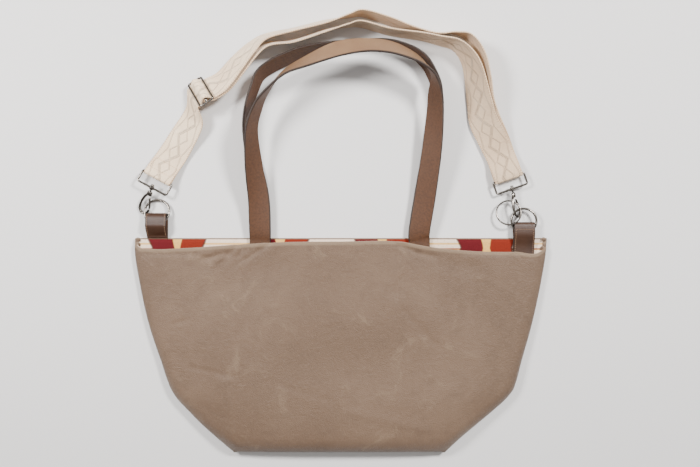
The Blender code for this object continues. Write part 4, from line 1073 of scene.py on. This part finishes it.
def buildWebbing(middle, along, normal):
    # Two layers of one webbing, each a strap along its own stations
    sliderPose = strap["sliderSwing"], strap["sliderLean"]
    # outer layer: folded at the left loop, through the slider, over the arch to the right loop
    swing = barPoses["left"][1]
    ahead = headed(swing, strap["tailSlope"])
    leftBar = bars["left"], ahead, np.cross(widthVector(swing, 0.0), ahead)
    start = [stations(*leftBar, leftTail, swing, 0.0), wrapped(*leftBar, leftFold, swing, 0.0),
             stations(*leftBar, leftStart, swing, 0.0)]
    joint = stations(*leftBar, leftJoint, swing, 0.0)
    through = np.array(sliderPass)
    through = posed(middle + through[:, :1] * along * strap["sliderPitch"]
                    + through[:, 1:] * normal * strap["thick"], *sliderPose)
    swing = barPoses["right"][1]
    rightBar = bars["right"], headed(swing), np.array([0, 0, 1.0])
    turned = swing - 180, 180.0
    below, above = (stations(*rightBar, places, *turned) for places in (rightBelow, rightAbove))
    arch = strapRows(outerArch)
    path = catmull(np.vstack([joint, strapRows(outerRise), through, arch, below[:1]]), strap["steps"])
    outer = np.vstack(start + [path, below[1:], wrapped(*rightBar, rightFoldBelow, *turned)])
    webbingStrip("outerWebbing", outer, "strap_outer")
    boxStitching(outer)
    # inner layer: folded at the slider's bar, along the arch and round the right loop
    tail = wrapped(middle, along, normal, sliderFold, *sliderPose)
    last = middle + along * strap["sliderPitch"] - normal * strap["tailDrop"] * strap["thick"]
    lay = np.array([lieOn(arch[k], a, b) for k, a, b in innerLay])
    last = posed(last[None], *sliderPose)
    path = catmull(np.vstack([last, strapRows(innerArch), lay, above[:1]]), strap["steps"])
    inner = np.vstack([tail, path, above[1:], wrapped(*rightBar, rightFoldAbove, *turned)])
    webbingStrip("innerWebbing", inner, "strap_inner")


buildWebbing(*buildSlider())
print("webbing made")

# Table, light and camera

# lights: place, diameter and watts
studio = {"floor": tone(222, 219, 217), "camera": (0.0102, 0.1374, 0.850), "view": 0.840,
          "key": ((0.80, 0.78, 1.15), 0.30, 39.0), "fill": ((-0.66, 0.50, 0.80), 0.30, 18.0),
          "top": ((0.0, 0.1, 1.6), 1.6, 6.0), "aim": (0.0, 0.12, 0.0), "sky": 0.30,
          "skyColour": (1.0, 0.99, 0.98, 1.0), "floorHalf": 3.0, "sensor": 36}


def buildStudio():
    # Pale floor, three disc lights aimed at the bag, a soft sky and the camera overhead
    mesh = bpy.data.meshes.new("floor")
    far = studio["floorHalf"]
    mesh.from_pydata([(-far, -far, 0), (far, -far, 0), (far, far, 0), (-far, far, 0)], [], [(0, 1, 2, 3)])
    paper = Finish("Pale table", 0.75, fixed={"Specular IOR Level": 0.2})
    paper.feed("Base Color", paper.mix(paper.noise(2.2, 2, 0.5) * 0.5, studio["floor"],
                                       tuple(c * 0.94 for c in studio["floor"])))
    mesh.materials.append(paper.mat)
    floor = bpy.data.objects.new("floor", mesh)
    bpy.context.scene.collection.objects.link(floor)
    for name in ("key", "fill", "top"):
        place, size, power = studio[name]
        light = bpy.data.lights.new(name, "AREA")
        light.shape = "DISK"
        light.size = size
        light.energy = power
        lamp = bpy.data.objects.new(name, light)
        bpy.context.scene.collection.objects.link(lamp)
        lamp.location = place
        aim = Vector(studio["aim"]) - Vector(place)
        lamp.rotation_euler = aim.to_track_quat("-Z", "Y").to_euler()
    world = bpy.data.worlds.new("Soft room")
    bpy.context.scene.world = world
    world.use_nodes = True
    sky = world.node_tree.nodes["Background"]
    sky.inputs["Color"].default_value = studio["skyColour"]
    sky.inputs["Strength"].default_value = studio["sky"]
    eye = bpy.data.cameras.new("Camera")
    eye.sensor_width = studio["sensor"]
    eye.lens = studio["sensor"] * studio["camera"][2] / studio["view"]
    camera = bpy.data.objects.new("Camera", eye)
    bpy.context.scene.collection.objects.link(camera)
    camera.location = studio["camera"]
    bpy.context.scene.camera = camera


buildStudio()
print("studio made")
